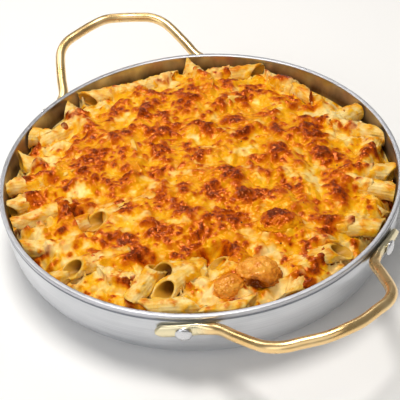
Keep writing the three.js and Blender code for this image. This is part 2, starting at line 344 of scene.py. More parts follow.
@dataclass(frozen=True)
class ToastedCheese:
    """Melted cheese, browned under the grill: oily and glossy, golden with red-brown blisters."""

    name: str = "toasted_cheese"
    roughness: float = 0.2
    cream: str = "#f4dc98"
    oily: str = "#ff9450"  # tint of the shine, which the brown fat on top gives
    mottle: float = 2.2  # mm
    speckle: float = 0.8  # mm
    pebble: float = 3.0  # mm, of the crisp beads on the browned parts
    pebble_depth: float = 0.75  # mm

    def make(self) -> bpy.types.Material:
        """Builds the material. The mesh's "toast" and "cream" attributes say how brown and how pale it is; on
        the crust, "toast" also holds painted shade in the pits.

        Returns:
            The material.
        """
        material, tree, place, out = new_material(self.name)
        toast = add_node(tree, "ShaderNodeAttribute", {"attribute_name": "toast"})
        mottle = add_node(
            tree, "ShaderNodeTexNoise", {"Scale": per_mm(self.mottle), "Detail": 5.0, "Roughness": 0.6},
            {"Vector": place},
        )
        grain = add_node(
            tree, "ShaderNodeTexNoise", {"Scale": per_mm(self.speckle), "Detail": 3.0}, {"Vector": place}
        )
        spread = add_node(
            tree,
            "ShaderNodeMapRange",
            {"From Min": 0.25, "From Max": 0.75, "To Min": -0.08, "To Max": 0.08},
            {"Value": mottle},
        )
        speckle = add_node(
            tree, "ShaderNodeMapRange", {"From Min": 0.3, "From Max": 0.7, "To Min": -0.07, "To Max": 0.07},
            {"Value": grain},
        )
        uneven = add_node(tree, "ShaderNodeMath", {"operation": "ADD"}, {0: spread, 1: speckle})
        fac = add_node(
            tree, "ShaderNodeMath", {"operation": "ADD", "use_clamp": True},
            {0: toast.outputs["Fac"], 1: uneven},
        )
        ramp = add_node(tree, "ShaderNodeValToRGB", {"stops": TOASTING}, {0: fac})
        pale = add_node(tree, "ShaderNodeAttribute", {"attribute_name": "cream"})
        colour = add_node(
            tree, "ShaderNodeMix", {"data_type": "RGBA", 7: linear(self.cream)},
            {0: pale.outputs["Fac"], 6: ramp},
        )
        pebbles = add_node(
            tree,
            "ShaderNodeTexVoronoi",
            {"feature": "SMOOTH_F1", "Scale": per_mm(self.pebble), "Smoothness": 0.5},
            {"Vector": place},
        )
        crisp = add_node(
            tree, "ShaderNodeMapRange", {"From Max": 0.8, "To Min": 0.25}, {"Value": toast.outputs["Fac"]}
        )
        height = add_node(tree, "ShaderNodeMath", {"operation": "MULTIPLY"}, {0: pebbles, 1: crisp})
        bump = add_node(
            tree, "ShaderNodeBump", {"Strength": 1.0, "Distance": self.pebble_depth * MM, "invert": True},
            {"Height": height},
        )
        least, most = self.roughness - 0.05, self.roughness + 0.08
        rough = add_node(
            tree, "ShaderNodeMapRange", {"From Min": 0.3, "From Max": 0.7, "To Min": least, "To Max": most},
            {"Value": grain},
        )
        shader = add_node(
            tree,
            "ShaderNodeBsdfPrincipled",
            {
                "IOR": 1.45,
                "Specular IOR Level": 1.0,
                "Specular Tint": linear(self.oily),
                "Subsurface Weight": 0.1,
                "Subsurface Radius": (1.0, 0.6, 0.2),
                "Subsurface Scale": 1.6 * MM,
            },
            {"Base Color": colour.outputs[2], "Roughness": rough, "Normal": bump},
        )
        tree.links.new(shader.outputs[0], out.inputs[0])
        return material


@dataclass(frozen=True)
class SaucedPasta:
    """Durum pasta, boiled then baked in sauce: straw yellow, moist, with smears of cheese, toasted on top."""

    name: str = "sauced_durum_pasta"
    straw: str = "#ecbb4c"
    pale: str = "#f4d890"
    # painted shade inside the tubes: "shade" at their mouths, darkening to "deep" further in
    shade: str = "#d29a2a"
    deep: str = "#8a5712"
    moist: str = "#ffdcae"  # tint of the shine, which the sauce gives
    roughness: float = 0.36
    sauce: float = 6.0  # mm, of the smears
    grain: float = 3.4  # mm, of the toasting
    grain_depth: float = 0.3  # mm

    def make(self) -> bpy.types.Material:
        """Builds the material. "toast" browns it, "coat" is cheese on it, "hollow" is the inside of a tube,
        which is painted in shade that deepens away from its ends.

        Returns:
            The material.
        """
        material, tree, place, out = new_material(self.name)
        toast = add_node(tree, "ShaderNodeAttribute", {"attribute_name": "toast"})
        hollow = add_node(tree, "ShaderNodeAttribute", {"attribute_name": "hollow"})
        sauce = add_node(
            tree, "ShaderNodeTexNoise", {"Scale": per_mm(self.sauce), "Detail": 4.0, "Roughness": 0.6},
            {"Vector": place},
        )
        cover = add_node(tree, "ShaderNodeMapRange", {"From Min": 0.38, "From Max": 0.62}, {"Value": sauce})
        coated = add_node(
            tree, "ShaderNodeMix", {"data_type": "RGBA", 6: linear(self.straw), 7: linear(self.pale)},
            {0: cover},
        )
        # painted shade: the inside of a tube is coloured darker, most of all deep within it
        mouth = add_node(tree, "ShaderNodeMapRange", {"From Max": 0.5}, {"Value": hollow.outputs["Fac"]})
        shaded = add_node(
            tree, "ShaderNodeMix", {"data_type": "RGBA", 7: linear(self.shade)},
            {0: mouth, 6: coated.outputs[2]},
        )
        depth = add_node(tree, "ShaderNodeMapRange", {"From Min": 0.5}, {"Value": hollow.outputs["Fac"]})
        inner = add_node(
            tree, "ShaderNodeMix", {"data_type": "RGBA", 7: linear(self.deep)},
            {0: depth, 6: shaded.outputs[2]},
        )
        fine = add_node(
            tree, "ShaderNodeTexNoise", {"Scale": per_mm(self.grain), "Detail": 6.0, "Roughness": 0.65},
            {"Vector": place},
        )
        spread = add_node(
            tree,
            "ShaderNodeMapRange",
            {"From Min": 0.25, "From Max": 0.75, "To Min": -0.34, "To Max": 0.34},
            {"Value": fine},
        )
        fac = add_node(
            tree, "ShaderNodeMath", {"operation": "ADD", "use_clamp": True},
            {0: toast.outputs["Fac"], 1: spread},
        )
        ramp = add_node(tree, "ShaderNodeValToRGB", {"stops": TOASTING}, {0: fac})
        burnt = add_node(tree, "ShaderNodeMapRange", {"From Min": 0.15, "From Max": 0.75}, {"Value": fac})
        coat = add_node(tree, "ShaderNodeAttribute", {"attribute_name": "coat"})
        cheesy = add_node(
            tree, "ShaderNodeMath", {"operation": "MAXIMUM"}, {0: burnt, 1: coat.outputs["Fac"]}
        )
        colour = add_node(
            tree, "ShaderNodeMix", {"data_type": "RGBA"}, {0: cheesy, 6: inner.outputs[2], 7: ramp}
        )
        bump = add_node(
            tree, "ShaderNodeBump", {"Strength": 0.5, "Distance": self.grain_depth * MM}, {"Height": fine}
        )
        shader = add_node(
            tree,
            "ShaderNodeBsdfPrincipled",
            {
                "Roughness": self.roughness,
                "IOR": 1.45,
                "Specular IOR Level": 0.5,
                "Specular Tint": linear(self.moist),
                "Subsurface Weight": 0.15,
                "Subsurface Radius": (1.0, 0.75, 0.3),
                "Subsurface Scale": 1.5 * MM,
            },
            {"Base Color": colour.outputs[2], "Normal": bump},
        )
        tree.links.new(shader.outputs[0], out.inputs[0])
        return material


@dataclass(frozen=True)
class RoastedMushroom:
    """Mushroom roasted in fat: smooth, glazed, orange-brown, darker where browned on top; its dark underside
    is partly its gills and partly painted shade, and its dents are painted shade.
    """

    name: str = "roasted_mushroom"
    light: str = "#f3a93c"
    middle: str = "#d97f1b"
    dark: str = "#7c380b"
    glaze: str = "#ffd2b0"  # tint of the shine, which the fat gives
    roughness: float = 0.22
    mottle: float = 4.5  # mm
    grain: float = 2.0  # mm, of the puckered skin
    grain_depth: float = 0.5  # mm

    def make(self) -> bpy.types.Material:
        """Builds the material. "toast" is how dark it is.

        Returns:
            The material.
        """
        material, tree, place, out = new_material(self.name)
        toast = add_node(tree, "ShaderNodeAttribute", {"attribute_name": "toast"})
        mottle = add_node(
            tree, "ShaderNodeTexNoise", {"Scale": per_mm(self.mottle), "Detail": 5.0, "Roughness": 0.62},
            {"Vector": place},
        )
        spread = add_node(
            tree,
            "ShaderNodeMapRange",
            {"From Min": 0.25, "From Max": 0.75, "To Min": -0.35, "To Max": 0.35},
            {"Value": mottle},
        )
        fac = add_node(
            tree, "ShaderNodeMath", {"operation": "ADD", "use_clamp": True},
            {0: toast.outputs["Fac"], 1: spread},
        )
        ramp = add_node(
            tree,
            "ShaderNodeValToRGB",
            {"stops": [(0.0, self.light), (0.45, self.middle), (1.0, self.dark)]},
            {0: fac},
        )
        grains = add_node(
            tree,
            "ShaderNodeTexVoronoi",
            {"feature": "SMOOTH_F1", "Scale": per_mm(self.grain), "Smoothness": 0.5},
            {"Vector": place},
        )
        bump = add_node(
            tree, "ShaderNodeBump", {"Strength": 0.7, "Distance": self.grain_depth * MM, "invert": True},
            {"Height": grains},
        )
        shader = add_node(
            tree,
            "ShaderNodeBsdfPrincipled",
            {
                "Roughness": self.roughness,
                "Specular IOR Level": 0.6,
                "Specular Tint": linear(self.glaze),
                "Subsurface Weight": 0.08,
                "Subsurface Radius": (1.0, 0.4, 0.2),
                "Subsurface Scale": 1.5 * MM,
            },
            {"Base Color": ramp, "Normal": bump},
        )
        tree.links.new(shader.outputs[0], out.inputs[0])
        return material


@dataclass(frozen=True)
class PlainMatte:
    """A plain matte surface with a faint cloud of tone, for the floor and small dark specks."""

    name: str
    light: str
    dark: str
    cloud: float  # mm
    roughness: float = 0.7

    def make(self) -> bpy.types.Material:
        """Builds the material.

        Returns:
            The material.
        """
        material, tree, place, out = new_material(self.name)
        cloud = add_node(
            tree, "ShaderNodeTexNoise", {"Scale": per_mm(self.cloud), "Detail": 2.0}, {"Vector": place}
        )
        colour = add_node(
            tree, "ShaderNodeMix", {"data_type": "RGBA", 6: linear(self.light), 7: linear(self.dark)},
            {0: cloud},
        )
        shader = add_node(
            tree, "ShaderNodeBsdfPrincipled", {"Roughness": self.roughness}, {"Base Color": colour.outputs[2]}
        )
        tree.links.new(shader.outputs[0], out.inputs[0])
        return material


# ---- Meshes -------------------------------------------------------------------------------------


def finish_piece(
    bm: bmesh.types.BMesh,
    name: str,
    materials: list[bpy.types.Material],
    replaces: tuple[str, ...] = (),
) -> bpy.types.Object:
    """Turns a bmesh in millimetres into a smooth piece of the object, in metres, at the origin.

    Args:
        bm: the mesh, which is freed.
        name: the piece's name.
        materials: its materials, in the order of the faces' material numbers.
        replaces: the frame's nodes that it stands for.

    Returns:
        The new object.
    """
    bmesh.ops.scale(bm, vec=(MM, MM, MM), verts=bm.verts)
    bmesh.ops.recalc_face_normals(bm, faces=bm.faces)
    mesh = bpy.data.meshes.new(name)
    bm.to_mesh(mesh)
    bm.free()
    mesh.shade_smooth()
    for material in materials:
        mesh.materials.append(material)
    piece = bpy.data.objects.new(name, mesh)
    bpy.context.scene.collection.objects.link(piece)
    if replaces:
        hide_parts(*replaces)
    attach(piece, BODY)
    LOG.info("%s: %d faces", name, len(mesh.polygons))
    return piece


def arc(centre: tuple[float, float], radius: float, start: float, end: float, steps: int) -> Profile:
    """Points of an arc in the (radius, height) plane, both ends included."""
    angles = [start + (end - start) * i / steps for i in range(steps + 1)]
    return [(centre[0] + radius * math.cos(a), centre[1] + radius * math.sin(a)) for a in angles]


def add_profile(bm: bmesh.types.BMesh, profile: Profile, closed: bool = False) -> Geometry:
    """Adds a line of (radius, height) points in the XZ plane.

    Args:
        bm: the mesh.
        profile: the points.
        closed: whether the last point joins the first.

    Returns:
        Its vertices and edges.
    """
    verts = [bm.verts.new((r, 0.0, z)) for r, z in profile]
    pairs = list(zip(verts, verts[1:]))
    if closed:
        pairs.append((verts[-1], verts[0]))
    edges = [bm.edges.new(pair) for pair in pairs]
    return verts + edges


def spin_closed(bm: bmesh.types.BMesh, line: Geometry, steps: int) -> None:
    """Spins a profile once round Z.

    Args:
        bm: the mesh.
        line: the profile's vertices and edges.
        steps: how many it takes.
    """
    bmesh.ops.spin(
        bm, geom=line, axis=(0, 0, 1), cent=(0, 0, 0), angle=2 * math.pi, steps=steps, use_merge=True
    )


def extruded(
    bm: bmesh.types.BMesh, edges: list[bmesh.types.BMEdge]
) -> tuple[list[bmesh.types.BMVert], list[bmesh.types.BMEdge]]:
    """Extrudes a loop of edges in place.

    Args:
        bm: the mesh.
        edges: the loop.

    Returns:
        The new loop's vertices and edges.
    """
    made = bmesh.ops.extrude_edge_only(bm, edges=edges)["geom"]
    verts = [g for g in made if isinstance(g, bmesh.types.BMVert)]
    fresh = set(verts)
    return verts, [g for g in made if isinstance(g, bmesh.types.BMEdge) and set(g.verts) <= fresh]


def smoothstep(low: float, high: float, value: float | np.ndarray) -> float | np.ndarray:
    """Zero at low, one at high and smooth between, for a number or an array."""
    t = np.clip((value - low) / (high - low), 0.0, 1.0)
    return t * t * (3 - 2 * t)


def soft_max(a: np.ndarray, b: np.ndarray, ease: float) -> np.ndarray:
    """The larger of two maps, eased where they meet."""
    return 0.5 * (a + b + np.sqrt((a - b) ** 2 + ease**2))


# ---- Pan ----------------------------------------------------------------------------------------


class PanFace(Enum):
    """The pan's finishes, as face material numbers."""

    OUTSIDE = 0
    RIM = 1
    INSIDE = 2
    # GROOVE is darker steel: painted shade of the thin shadow line under the rim
    GROOVE = 3


@dataclass
class Pan:
    """The round shallow pan, in millimetres."""

    rim_radius: float = 130.0
    height: float = 44.0
    wall: float = 3.2
    lean: float = math.radians(5)
    corner_radius: float = 20.0
    rim_round: float = 0.8
    groove_drop: float = 3.0
    groove_width: float = 1.6
    groove_depth: float = 0.5
    corner_steps: int = 12
    inner_corner_steps: int = 10
    rim_steps: int = 5
    wall_heights: tuple[float, float, float] = (30.0, 36.0, 28.0)  # of its section's loops: outside, inside
    segments: int = 240

    def outer_radius(self, z: float) -> float:
        """Radius of the leaning wall's outside at a height."""
        return self.rim_radius - (self.height - z) * math.tan(self.lean)

    def inner_radius(self, z: float) -> float:
        """Radius of the wall's inside at a height."""
        return self.outer_radius(z) - self.wall / math.cos(self.lean)

    @property
    def corner(self) -> tuple[float, float]:
        """Radius and height of the middle of the round corner between base and wall."""
        reach = self.outer_radius(self.corner_radius) - self.corner_radius / math.cos(self.lean)
        return reach, self.corner_radius

    def profile(self) -> Profile:
        """The wall's section, from the middle of the base round to the middle of the floor.

        Returns:
            Its points as (radius, height).
        """
        corner = self.corner
        groove = self.height - self.groove_drop
        groove_floor = self.outer_radius(groove) - self.groove_depth
        rim_in = self.inner_radius(self.height)
        rounded = self.rim_round
        rim_z = self.height - rounded
        low_out, high_in, low_in = self.wall_heights
        return [
            (0.0, 0.0),
            (corner[0] * 0.5, 0.0),
            *arc(corner, self.corner_radius, -math.pi / 2, -self.lean, self.corner_steps),
            (self.outer_radius(low_out), low_out),
            (self.outer_radius(groove - self.groove_width), groove - self.groove_width),
            (groove_floor, groove - self.groove_width * 0.6),
            (groove_floor, groove - self.groove_width * 0.3),
            (self.outer_radius(groove) - 0.05, groove),
            *arc((self.rim_radius - rounded, rim_z), rounded, 0.0, math.pi / 2, self.rim_steps),
            *arc((rim_in + rounded, rim_z), rounded, math.pi / 2, math.pi, self.rim_steps),
            (self.inner_radius(high_in), high_in),
            (self.inner_radius(low_in), low_in),
            *arc(corner, self.corner_radius - self.wall, -self.lean, -math.pi / 2, self.inner_corner_steps),
            (corner[0] * 0.5, self.wall),
            (0.0, self.wall),
        ]

    def is_inside(self, reach: float, z: float) -> bool:
        """Whether a face is nearer to the shell's inside than to its outside.

        Args:
            reach: how far the face's middle is from the axis.
            z: its height.

        Returns:
            True where it is.
        """
        corner = self.corner
        if reach < corner[0]:
            return z > self.wall / 2
        if z < corner[1]:
            return math.hypot(reach - corner[0], z - corner[1]) < self.corner_radius - self.wall / 2
        return reach < self.inner_radius(z) + self.wall * 0.2

    def face_kind(self, centre: Vector) -> PanFace:
        """Which finish a face has.

        Args:
            centre: the face's middle.

        Returns:
            The finish.
        """
        inside = self.is_inside(math.hypot(centre.x, centre.y), centre.z)
        groove = self.height - self.groove_drop
        if not inside and groove - self.groove_width < centre.z < groove:
            return PanFace.GROOVE
        if centre.z > self.height - self.rim_round or (not inside and centre.z > groove):
            return PanFace.RIM
        return PanFace.INSIDE if inside else PanFace.OUTSIDE

    def build(self) -> bpy.types.Object:
        """Spins the section into the pan and gives each face its finish.

        Returns:
            The pan.
        """
        bm = bmesh.new()
        spin_closed(bm, add_profile(bm, self.profile()), self.segments)
        bmesh.ops.remove_doubles(bm, verts=bm.verts, dist=MERGE)
        for face in bm.faces:
            face.material_index = self.face_kind(face.calc_center_median()).value
        # The groove's steel is dark and dull: painted shade of the shadow line under the rim
        groove = PolishedRim("groove_painted_shade_steel", "#8b8f97", 0.5)
        finishes = [SatinSteel().make(), PolishedRim().make(), StainedSteel().make(), groove.make()]
        return finish_piece(bm, "pan_shell", finishes, ("pan",))


# ---- Handles and rivets -------------------------------------------------------------------------

# Angle of each handle's middle about the pan's axis; the far one sits a little off opposite.
HANDLE_SIDES = (("near", 0.0), ("far", math.pi - math.radians(3.6)))


def catmull_rom(points: list[Vector], per_span: int) -> list[Vector]:
    """A smooth centripetal curve through points.

    Args:
        points: at least four points.
        per_span: how many points each span between two of them gets.

    Returns:
        The curve's points, from the first point to the last.
    """
    first = points[0] * 2 - points[1]
    last = points[-1] * 2 - points[-2]
    path = [first, *points, last]
    curve: list[Vector] = []
    for p0, p1, p2, p3 in zip(path, path[1:], path[2:], path[3:]):
        t0 = 0.0
        t1 = t0 + math.sqrt((p1 - p0).length)
        t2 = t1 + math.sqrt((p2 - p1).length)
        t3 = t2 + math.sqrt((p3 - p2).length)
        for i in range(per_span):
            t = t1 + (t2 - t1) * i / per_span
            a1 = p0 * ((t1 - t) / (t1 - t0)) + p1 * ((t - t0) / (t1 - t0))
            a2 = p1 * ((t2 - t) / (t2 - t1)) + p2 * ((t - t1) / (t2 - t1))
            a3 = p2 * ((t3 - t) / (t3 - t2)) + p3 * ((t - t2) / (t3 - t2))
            b1 = a1 * ((t2 - t) / (t2 - t0)) + a2 * ((t - t0) / (t2 - t0))
            b2 = a2 * ((t3 - t) / (t3 - t1)) + a3 * ((t - t1) / (t3 - t1))
            curve.append(b1 * ((t2 - t) / (t2 - t1)) + b2 * ((t - t1) / (t2 - t1)))
    curve.append(points[-1].copy())
    return curve


def sweep(bm: bmesh.types.BMesh, path: list[Vector], radius: float, sides: int) -> None:
    """Extrudes a round section along a path, with both ends closed.

    Args:
        bm: the mesh.
        path: points along the middle.
        radius: of the section.
        sides: of the section.
    """
    ways = [(b - a).normalized() for a, b in zip(path, path[1:])]
    ways.append(ways[-1])
    turn = ways[0].to_track_quat("Z", "Y")
    frames = []
    for i, (point, way) in enumerate(zip(path, ways)):
        if i:
            turn = ways[i - 1].rotation_difference(way) @ turn
        frames.append(Matrix.Translation(point) @ turn.to_matrix().to_4x4())
    ring = bmesh.ops.create_circle(bm, segments=sides, radius=radius, cap_ends=False)["verts"]
    bmesh.ops.transform(bm, matrix=frames[0], verts=ring)
    edges = list({edge for vert in ring for edge in vert.link_edges})
    first = list(edges)
    for before, after in zip(frames, frames[1:]):
        verts, edges = extruded(bm, edges)
        bmesh.ops.transform(bm, matrix=after @ before.inverted(), verts=verts)
    for end in (first, edges):
        bmesh.ops.contextual_create(bm, geom=end)


@dataclass
class LoopHandle:
    """A rod bent into a loop, its two ends hammered flat against the pan's wall."""

    name: str
    node: str
    side: float  # angle of its middle about the pan's axis
    pan: Pan
    rod_radius: float = 3.4
    leave_angle: float = math.radians(23.7)
    end_angle: float = math.radians(38.4)
    leave_drop: float = 7.0
    end_drop: float = 11.4
    corner: tuple[float, float, float] = (166.4, 39.2, 9.4)  # reach, half width, rise over the rim
    corner_round: float = 15.0
    middle: tuple[float, float, float] = (175.1, 0.0, 13.3)
    turn_out: tuple[float, float] = (0.08, 0.6)  # share of the way to the bend, and how far inwards there
    arm: float = 0.36  # share of that way, where the arm runs straight
    bar: tuple[float, float] = (0.72, 1.2)  # share of the way from bend to middle, and its bow outwards
    wall_points: int = 6
    bend_points: int = 5
    curve_points: int = 6  # between two points of the route
    tab_height: float = 9.0
    tab_thickness: float = 4.4
    tab_end: float = 0.25  # the least share of its height left at its rounded end
    flatten_span: float = math.radians(5)
    gap: float = 0.3
    rivet_drop: float = 9.7
    rivet_angle: float = math.radians(31.2)  # of its two rivets, either way from its middle
    sides: int = 28

    @property
    def wall_face(self) -> float:
        """Radius at which the tab lies on the wall."""
        return self.pan.outer_radius(self.pan.height - self.rivet_drop) + self.gap

    def run_height(self, angle: float) -> float:
        """Height of the rod's middle where it lies along the wall."""
        t = (angle - self.leave_angle) / (self.end_angle - self.leave_angle)
        return self.pan.height - self.leave_drop - (self.end_drop - self.leave_drop) * t

    def run_point(self, angle: float) -> Vector:
        """A point of the rod's middle along the wall."""
        reach = self.wall_face + self.rod_radius
        return Vector((reach * math.cos(angle), reach * math.sin(angle), self.run_height(angle)))

    def route(self) -> list[Vector]:
        """The rod's middle line from tab to tab, for a handle on +X.

        Returns:
            Its points.
        """
        rise = Vector((0, 0, self.pan.height))
        corner = Vector(self.corner) + rise
        middle = Vector(self.middle) + rise
        leave = self.run_point(self.leave_angle)
        run = self.leave_angle - self.end_angle
        count = self.wall_points
        half = [self.run_point(self.end_angle + run * i / count) for i in range(count)]
        half.append(leave.lerp(corner, self.turn_out[0]) - Vector((self.turn_out[1], 0, 0)))
        half.append(leave.lerp(corner, self.arm))
        before = corner.lerp(leave, self.corner_round / (corner - leave).length)
        after = corner.lerp(middle, self.corner_round / (corner - middle).length)
        for i in range(self.bend_points):
            t = i / (self.bend_points - 1)
            half.append(before * (1 - t) ** 2 + corner * 2 * t * (1 - t) + after * t * t)
        half.append(corner.lerp(middle, self.bar[0]) + Vector((self.bar[1], 0, 0)))
        other = [Vector((p.x, -p.y, p.z)) for p in reversed(half)]
        return catmull_rom([*half, middle, *other], self.curve_points)

    def hammer(self, vert: Vector) -> tuple[Vector, float]:
        """Where a vertex of the round rod goes when the ends are flattened.

        Args:
            vert: its place on the round rod.

        Returns:
            Its new place, and how flat the rod is there, from 0 to 1.
        """
        angle = math.atan2(vert.y, vert.x)
        flat = float(smoothstep(0, 1, (abs(angle) - self.leave_angle) / self.flatten_span))
        if flat <= 0:
            return vert, 0.0
        squeeze = self.tab_thickness / (2 * self.rod_radius) - 1
        stretch = self.tab_height / (2 * self.rod_radius) - 1
        round_span = self.tab_height / 2 / (self.wall_face + self.rod_radius)
        t = max(0.0, (abs(angle) - (self.end_angle - round_span)) / round_span)
        taper = max(self.tab_end, math.sqrt(max(0.0, 1 - t * t)))
        reach = self.wall_face + (math.hypot(vert.x, vert.y) - self.wall_face) * (1 + squeeze * flat)
        axis = self.run_height(min(abs(angle), self.end_angle))
        height = axis + (vert.z - axis) * (1 + stretch * flat) * taper
        return Vector((reach * math.cos(angle), reach * math.sin(angle), height)), flat

    def build(self, brass: bpy.types.Material) -> bpy.types.Object:
        """Sweeps the rod, flattens its ends and turns it to its side.

        Args:
            brass: its material.

        Returns:
            The handle.
        """
        bm = bmesh.new()
        sweep(bm, self.route(), self.rod_radius, self.sides)
        hammered = bm.verts.layers.float.new("hammered")
        for vert in bm.verts:
            vert.co, vert[hammered] = self.hammer(vert.co)
        bmesh.ops.rotate(bm, cent=(0, 0, 0), matrix=Matrix.Rotation(self.side, 3, "Z"), verts=bm.verts)
        return finish_piece(bm, self.name, [brass], (self.node,))


@dataclass
class Rivet:
    """A domed rivet through a tab and the wall."""

    name: str
    node: str
    angle: float
    handle: LoopHandle
    shank_radius: float = 2.4
    head_radius: float = 5.0
    head_height: float = 2.2
    head_edge: float = 0.4  # height of the head's upright edge
    edge_round: float = 0.3
    dome_steps: int = 8
    sides: int = 36

    def build(self, steel: bpy.types.Material) -> bpy.types.Object:
        """Spins the rivet about its own axis and turns it outwards.

        Args:
            steel: its material.

        Returns:
            The rivet.
        """
        height = self.handle.pan.height - self.handle.rivet_drop
        inside = self.handle.pan.inner_radius(height) + self.handle.gap
        foot = self.handle.wall_face + self.handle.tab_thickness + self.handle.gap
        rise = self.head_height - self.head_edge
        dome = [
            (self.head_radius * math.cos(a), foot + self.head_edge + rise * math.sin(a))
            for a in (math.pi / 2 * i / self.dome_steps for i in range(self.dome_steps))
        ]
        profile = [
            (0.0, inside),
            (self.shank_radius, inside),
            (self.shank_radius, foot),
            (self.head_radius - self.edge_round, foot),
            *dome,
            (0.0, foot + self.head_height),
        ]
        bm = bmesh.new()
        spin_closed(bm, add_profile(bm, profile), self.sides)
        bmesh.ops.remove_doubles(bm, verts=bm.verts, dist=MERGE)
        outwards = Matrix.Rotation(self.angle, 4, "Z") @ Matrix.Rotation(math.pi / 2, 4, "Y")
        bmesh.ops.transform(bm, matrix=Matrix.Translation((0, 0, height)) @ outwards, verts=bm.verts)
        return finish_piece(bm, self.name, [steel], (self.node,))


# ---- The top of the dish as maps ----------------------------------------------------------------

# The food's own axes: "across" runs to the right and "away" runs back, for someone at the near side.
LAYOUT_TURN = math.radians(65.9)


def on_dish(across: float, away: float) -> tuple[float, float]:
    """Turns a place in the food's own axes into the frame's x and y."""
    cos, sin = math.cos(LAYOUT_TURN), math.sin(LAYOUT_TURN)
    return across * cos - away * sin, across * sin + away * cos


@dataclass(frozen=True)
class Spot:
    """A patch of the crust: its middle, half sizes and turn in the food's own axes, and how strong it is."""

    across: float
    away: float
    long: float
    wide: float
    turn: float = 0.0
    strength: float = 1.0


# The main browned patches, from the far side to the near side.
BROWNED = (
    Spot(-30, 89, 10, 4, -5, 0.75),
    Spot(-8, 87, 7, 4, 10, 0.8),
    Spot(22, 93, 9, 5, 5, 0.7),
    Spot(45, 84, 9, 6, -10, 0.9),
    Spot(33, 72, 5, 5, 0, 0.85),
    Spot(70, 70, 5, 6, 0, 1.0),
    Spot(79, 62, 4, 6, 0, 0.75),
    Spot(-55, 70, 12, 4, 50, 0.75),
    Spot(-31, 64, 12, 9, -25, 1.05),
    Spot(-9, 72, 11, 6, 25, 0.85),
    Spot(70, 55, 11, 4, -65, 0.75),
    Spot(48, 53, 6, 6, 0, 0.6),
    Spot(27, 48, 5, 4, 0, 0.85),
    Spot(4, 44, 9, 6, -50, 0.75),
    Spot(-22, 41, 11, 6, 0, 0.95),
    Spot(-50, 42, 6, 6, 0, 0.85),
    Spot(-74, 43, 9, 6, 20, 0.75),
    Spot(77, 32, 7, 7, 0, 1.1),
    Spot(86, 40, 10, 4, -50, 0.7),
    Spot(57, 32, 10, 4, -55, 0.85),
    Spot(34, 31, 6, 6, 0, 0.8),
    Spot(-8, 24, 5, 4, 0, 0.7),
    Spot(-26, 20, 8, 8, 0, 0.65),
    Spot(-56, 18, 5, 7, 0, 0.85),
    Spot(-70, 15, 14, 6, 60, 0.95),
    Spot(2, 14, 5, 4, 0, 0.75),
    Spot(-104, 5, 12, 5, 10, 0.75),
    Spot(54, 8, 4, 6, 0, 0.95),
    Spot(81, 5, 8, 7, 0, 0.9),
    Spot(109, 6, 7, 3, 30, 0.95),
    Spot(-86, -6, 4, 4, 0, 0.95),
    Spot(-61, -6, 6, 5, 0, 0.9),
    Spot(-49, -8, 6, 7, 0, 0.8),
    Spot(-27, -1, 5, 4, 0, 0.75),
    Spot(-54, -17, 6, 5, 0, 0.7),
    Spot(20, -11, 11, 4, -18, 0.95),
    Spot(92, -14, 12, 5, 0, 0.75),
    Spot(-110, -17, 6, 4, 0, 0.7),
    Spot(-93, -16, 5, 5, 0, 0.75),
    Spot(57, -24, 17, 2.6, -62, 0.85),
    Spot(5, -24, 8, 5, -10, 1.0),
    Spot(-12, -24, 4, 4, 0, 0.85),
    Spot(29, -29, 16, 5, 12, 0.95),
    Spot(-28, -30, 5, 7, 0, 0.95),
    Spot(-45, -32, 6, 5, 0, 0.9),
    Spot(-82, -28, 8, 10, 0, 0.8),
    Spot(87, -34, 14, 10, 0, 0.78),
    Spot(-13, -40, 10, 6, -35, 0.8),
    Spot(14, -48, 10, 8, 0, 0.78),
    Spot(-90, -48, 5, 4, 0, 0.95),
    Spot(-27, -57, 9, 7, 0, 0.8),
    Spot(-62, -58, 8, 6, -15, 0.95),
    Spot(-51, -63, 9, 6, -35, 1.0),
    Spot(-44, -74, 5, 7, 0, 1.0),
    Spot(1, -62, 9, 8, 0, 0.82),
    Spot(14, -73, 11, 7, -40, 0.82),
    Spot(-14, -75, 9, 6, 20, 0.9),
    Spot(77, -58, 5, 4, 0, 1.1),
    Spot(73, -67, 4, 7, -30, 0.85),
    Spot(56, -77, 8, 6, 0, 0.75),
    Spot(-2, -84, 3, 2.4, 0, 1.1),
    Spot(-35, -87, 4, 3, 0, 0.85),
    Spot(-44, -98, 5, 3, -20, 1.1),
    Spot(-57, -106, 7, 5, -30, 0.9),
    Spot(-12, -105, 3, 3, 0, 0.95),
    Spot(9, -123, 5, 3, 0, 0.85),
    Spot(58, -108, 4, 8, -20, 0.9),
    Spot(50, -94, 5, 4, 0, 0.7),
    Spot(66, -92, 7, 5, 40, 0.9),
    Spot(85, -97, 7, 4, 35, 0.85),
)

# Pale pools where the cheese only melted.
CREAMY = (
    Spot(-45, 62, 11, 4, 62, 0.8),
    Spot(2, 25, 13, 4, -60, 0.9),
    Spot(56, 62, 9, 6, -40, 0.6),
    Spot(35, 18, 9, 6, 20, 0.6),
    Spot(-78, -12, 8, 5, 10, 0.8),
    Spot(67, -12, 10, 6, -60, 1.0),
    Spot(74, -28, 4, 5, 0, 1.0),
    Spot(-50, -46, 11, 4, 20, 0.7),
    Spot(-15, -50, 7, 4, 0, 0.5),
    Spot(50, -68, 9, 8, 0, 1.0),
    Spot(30, -76, 12, 7, -20, 0.6),
    Spot(-75, -62, 14, 8, -20, 0.5),
    Spot(42, -100, 7, 7, 0, 0.7),
    Spot(-4, -104, 8, 10, 0, 0.8),
    Spot(-22, -92, 9, 4, 10, 0.6),
    Spot(100, 40, 8, 12, 20, 0.6),
    Spot(108, -20, 10, 9, 0, 0.7),
)


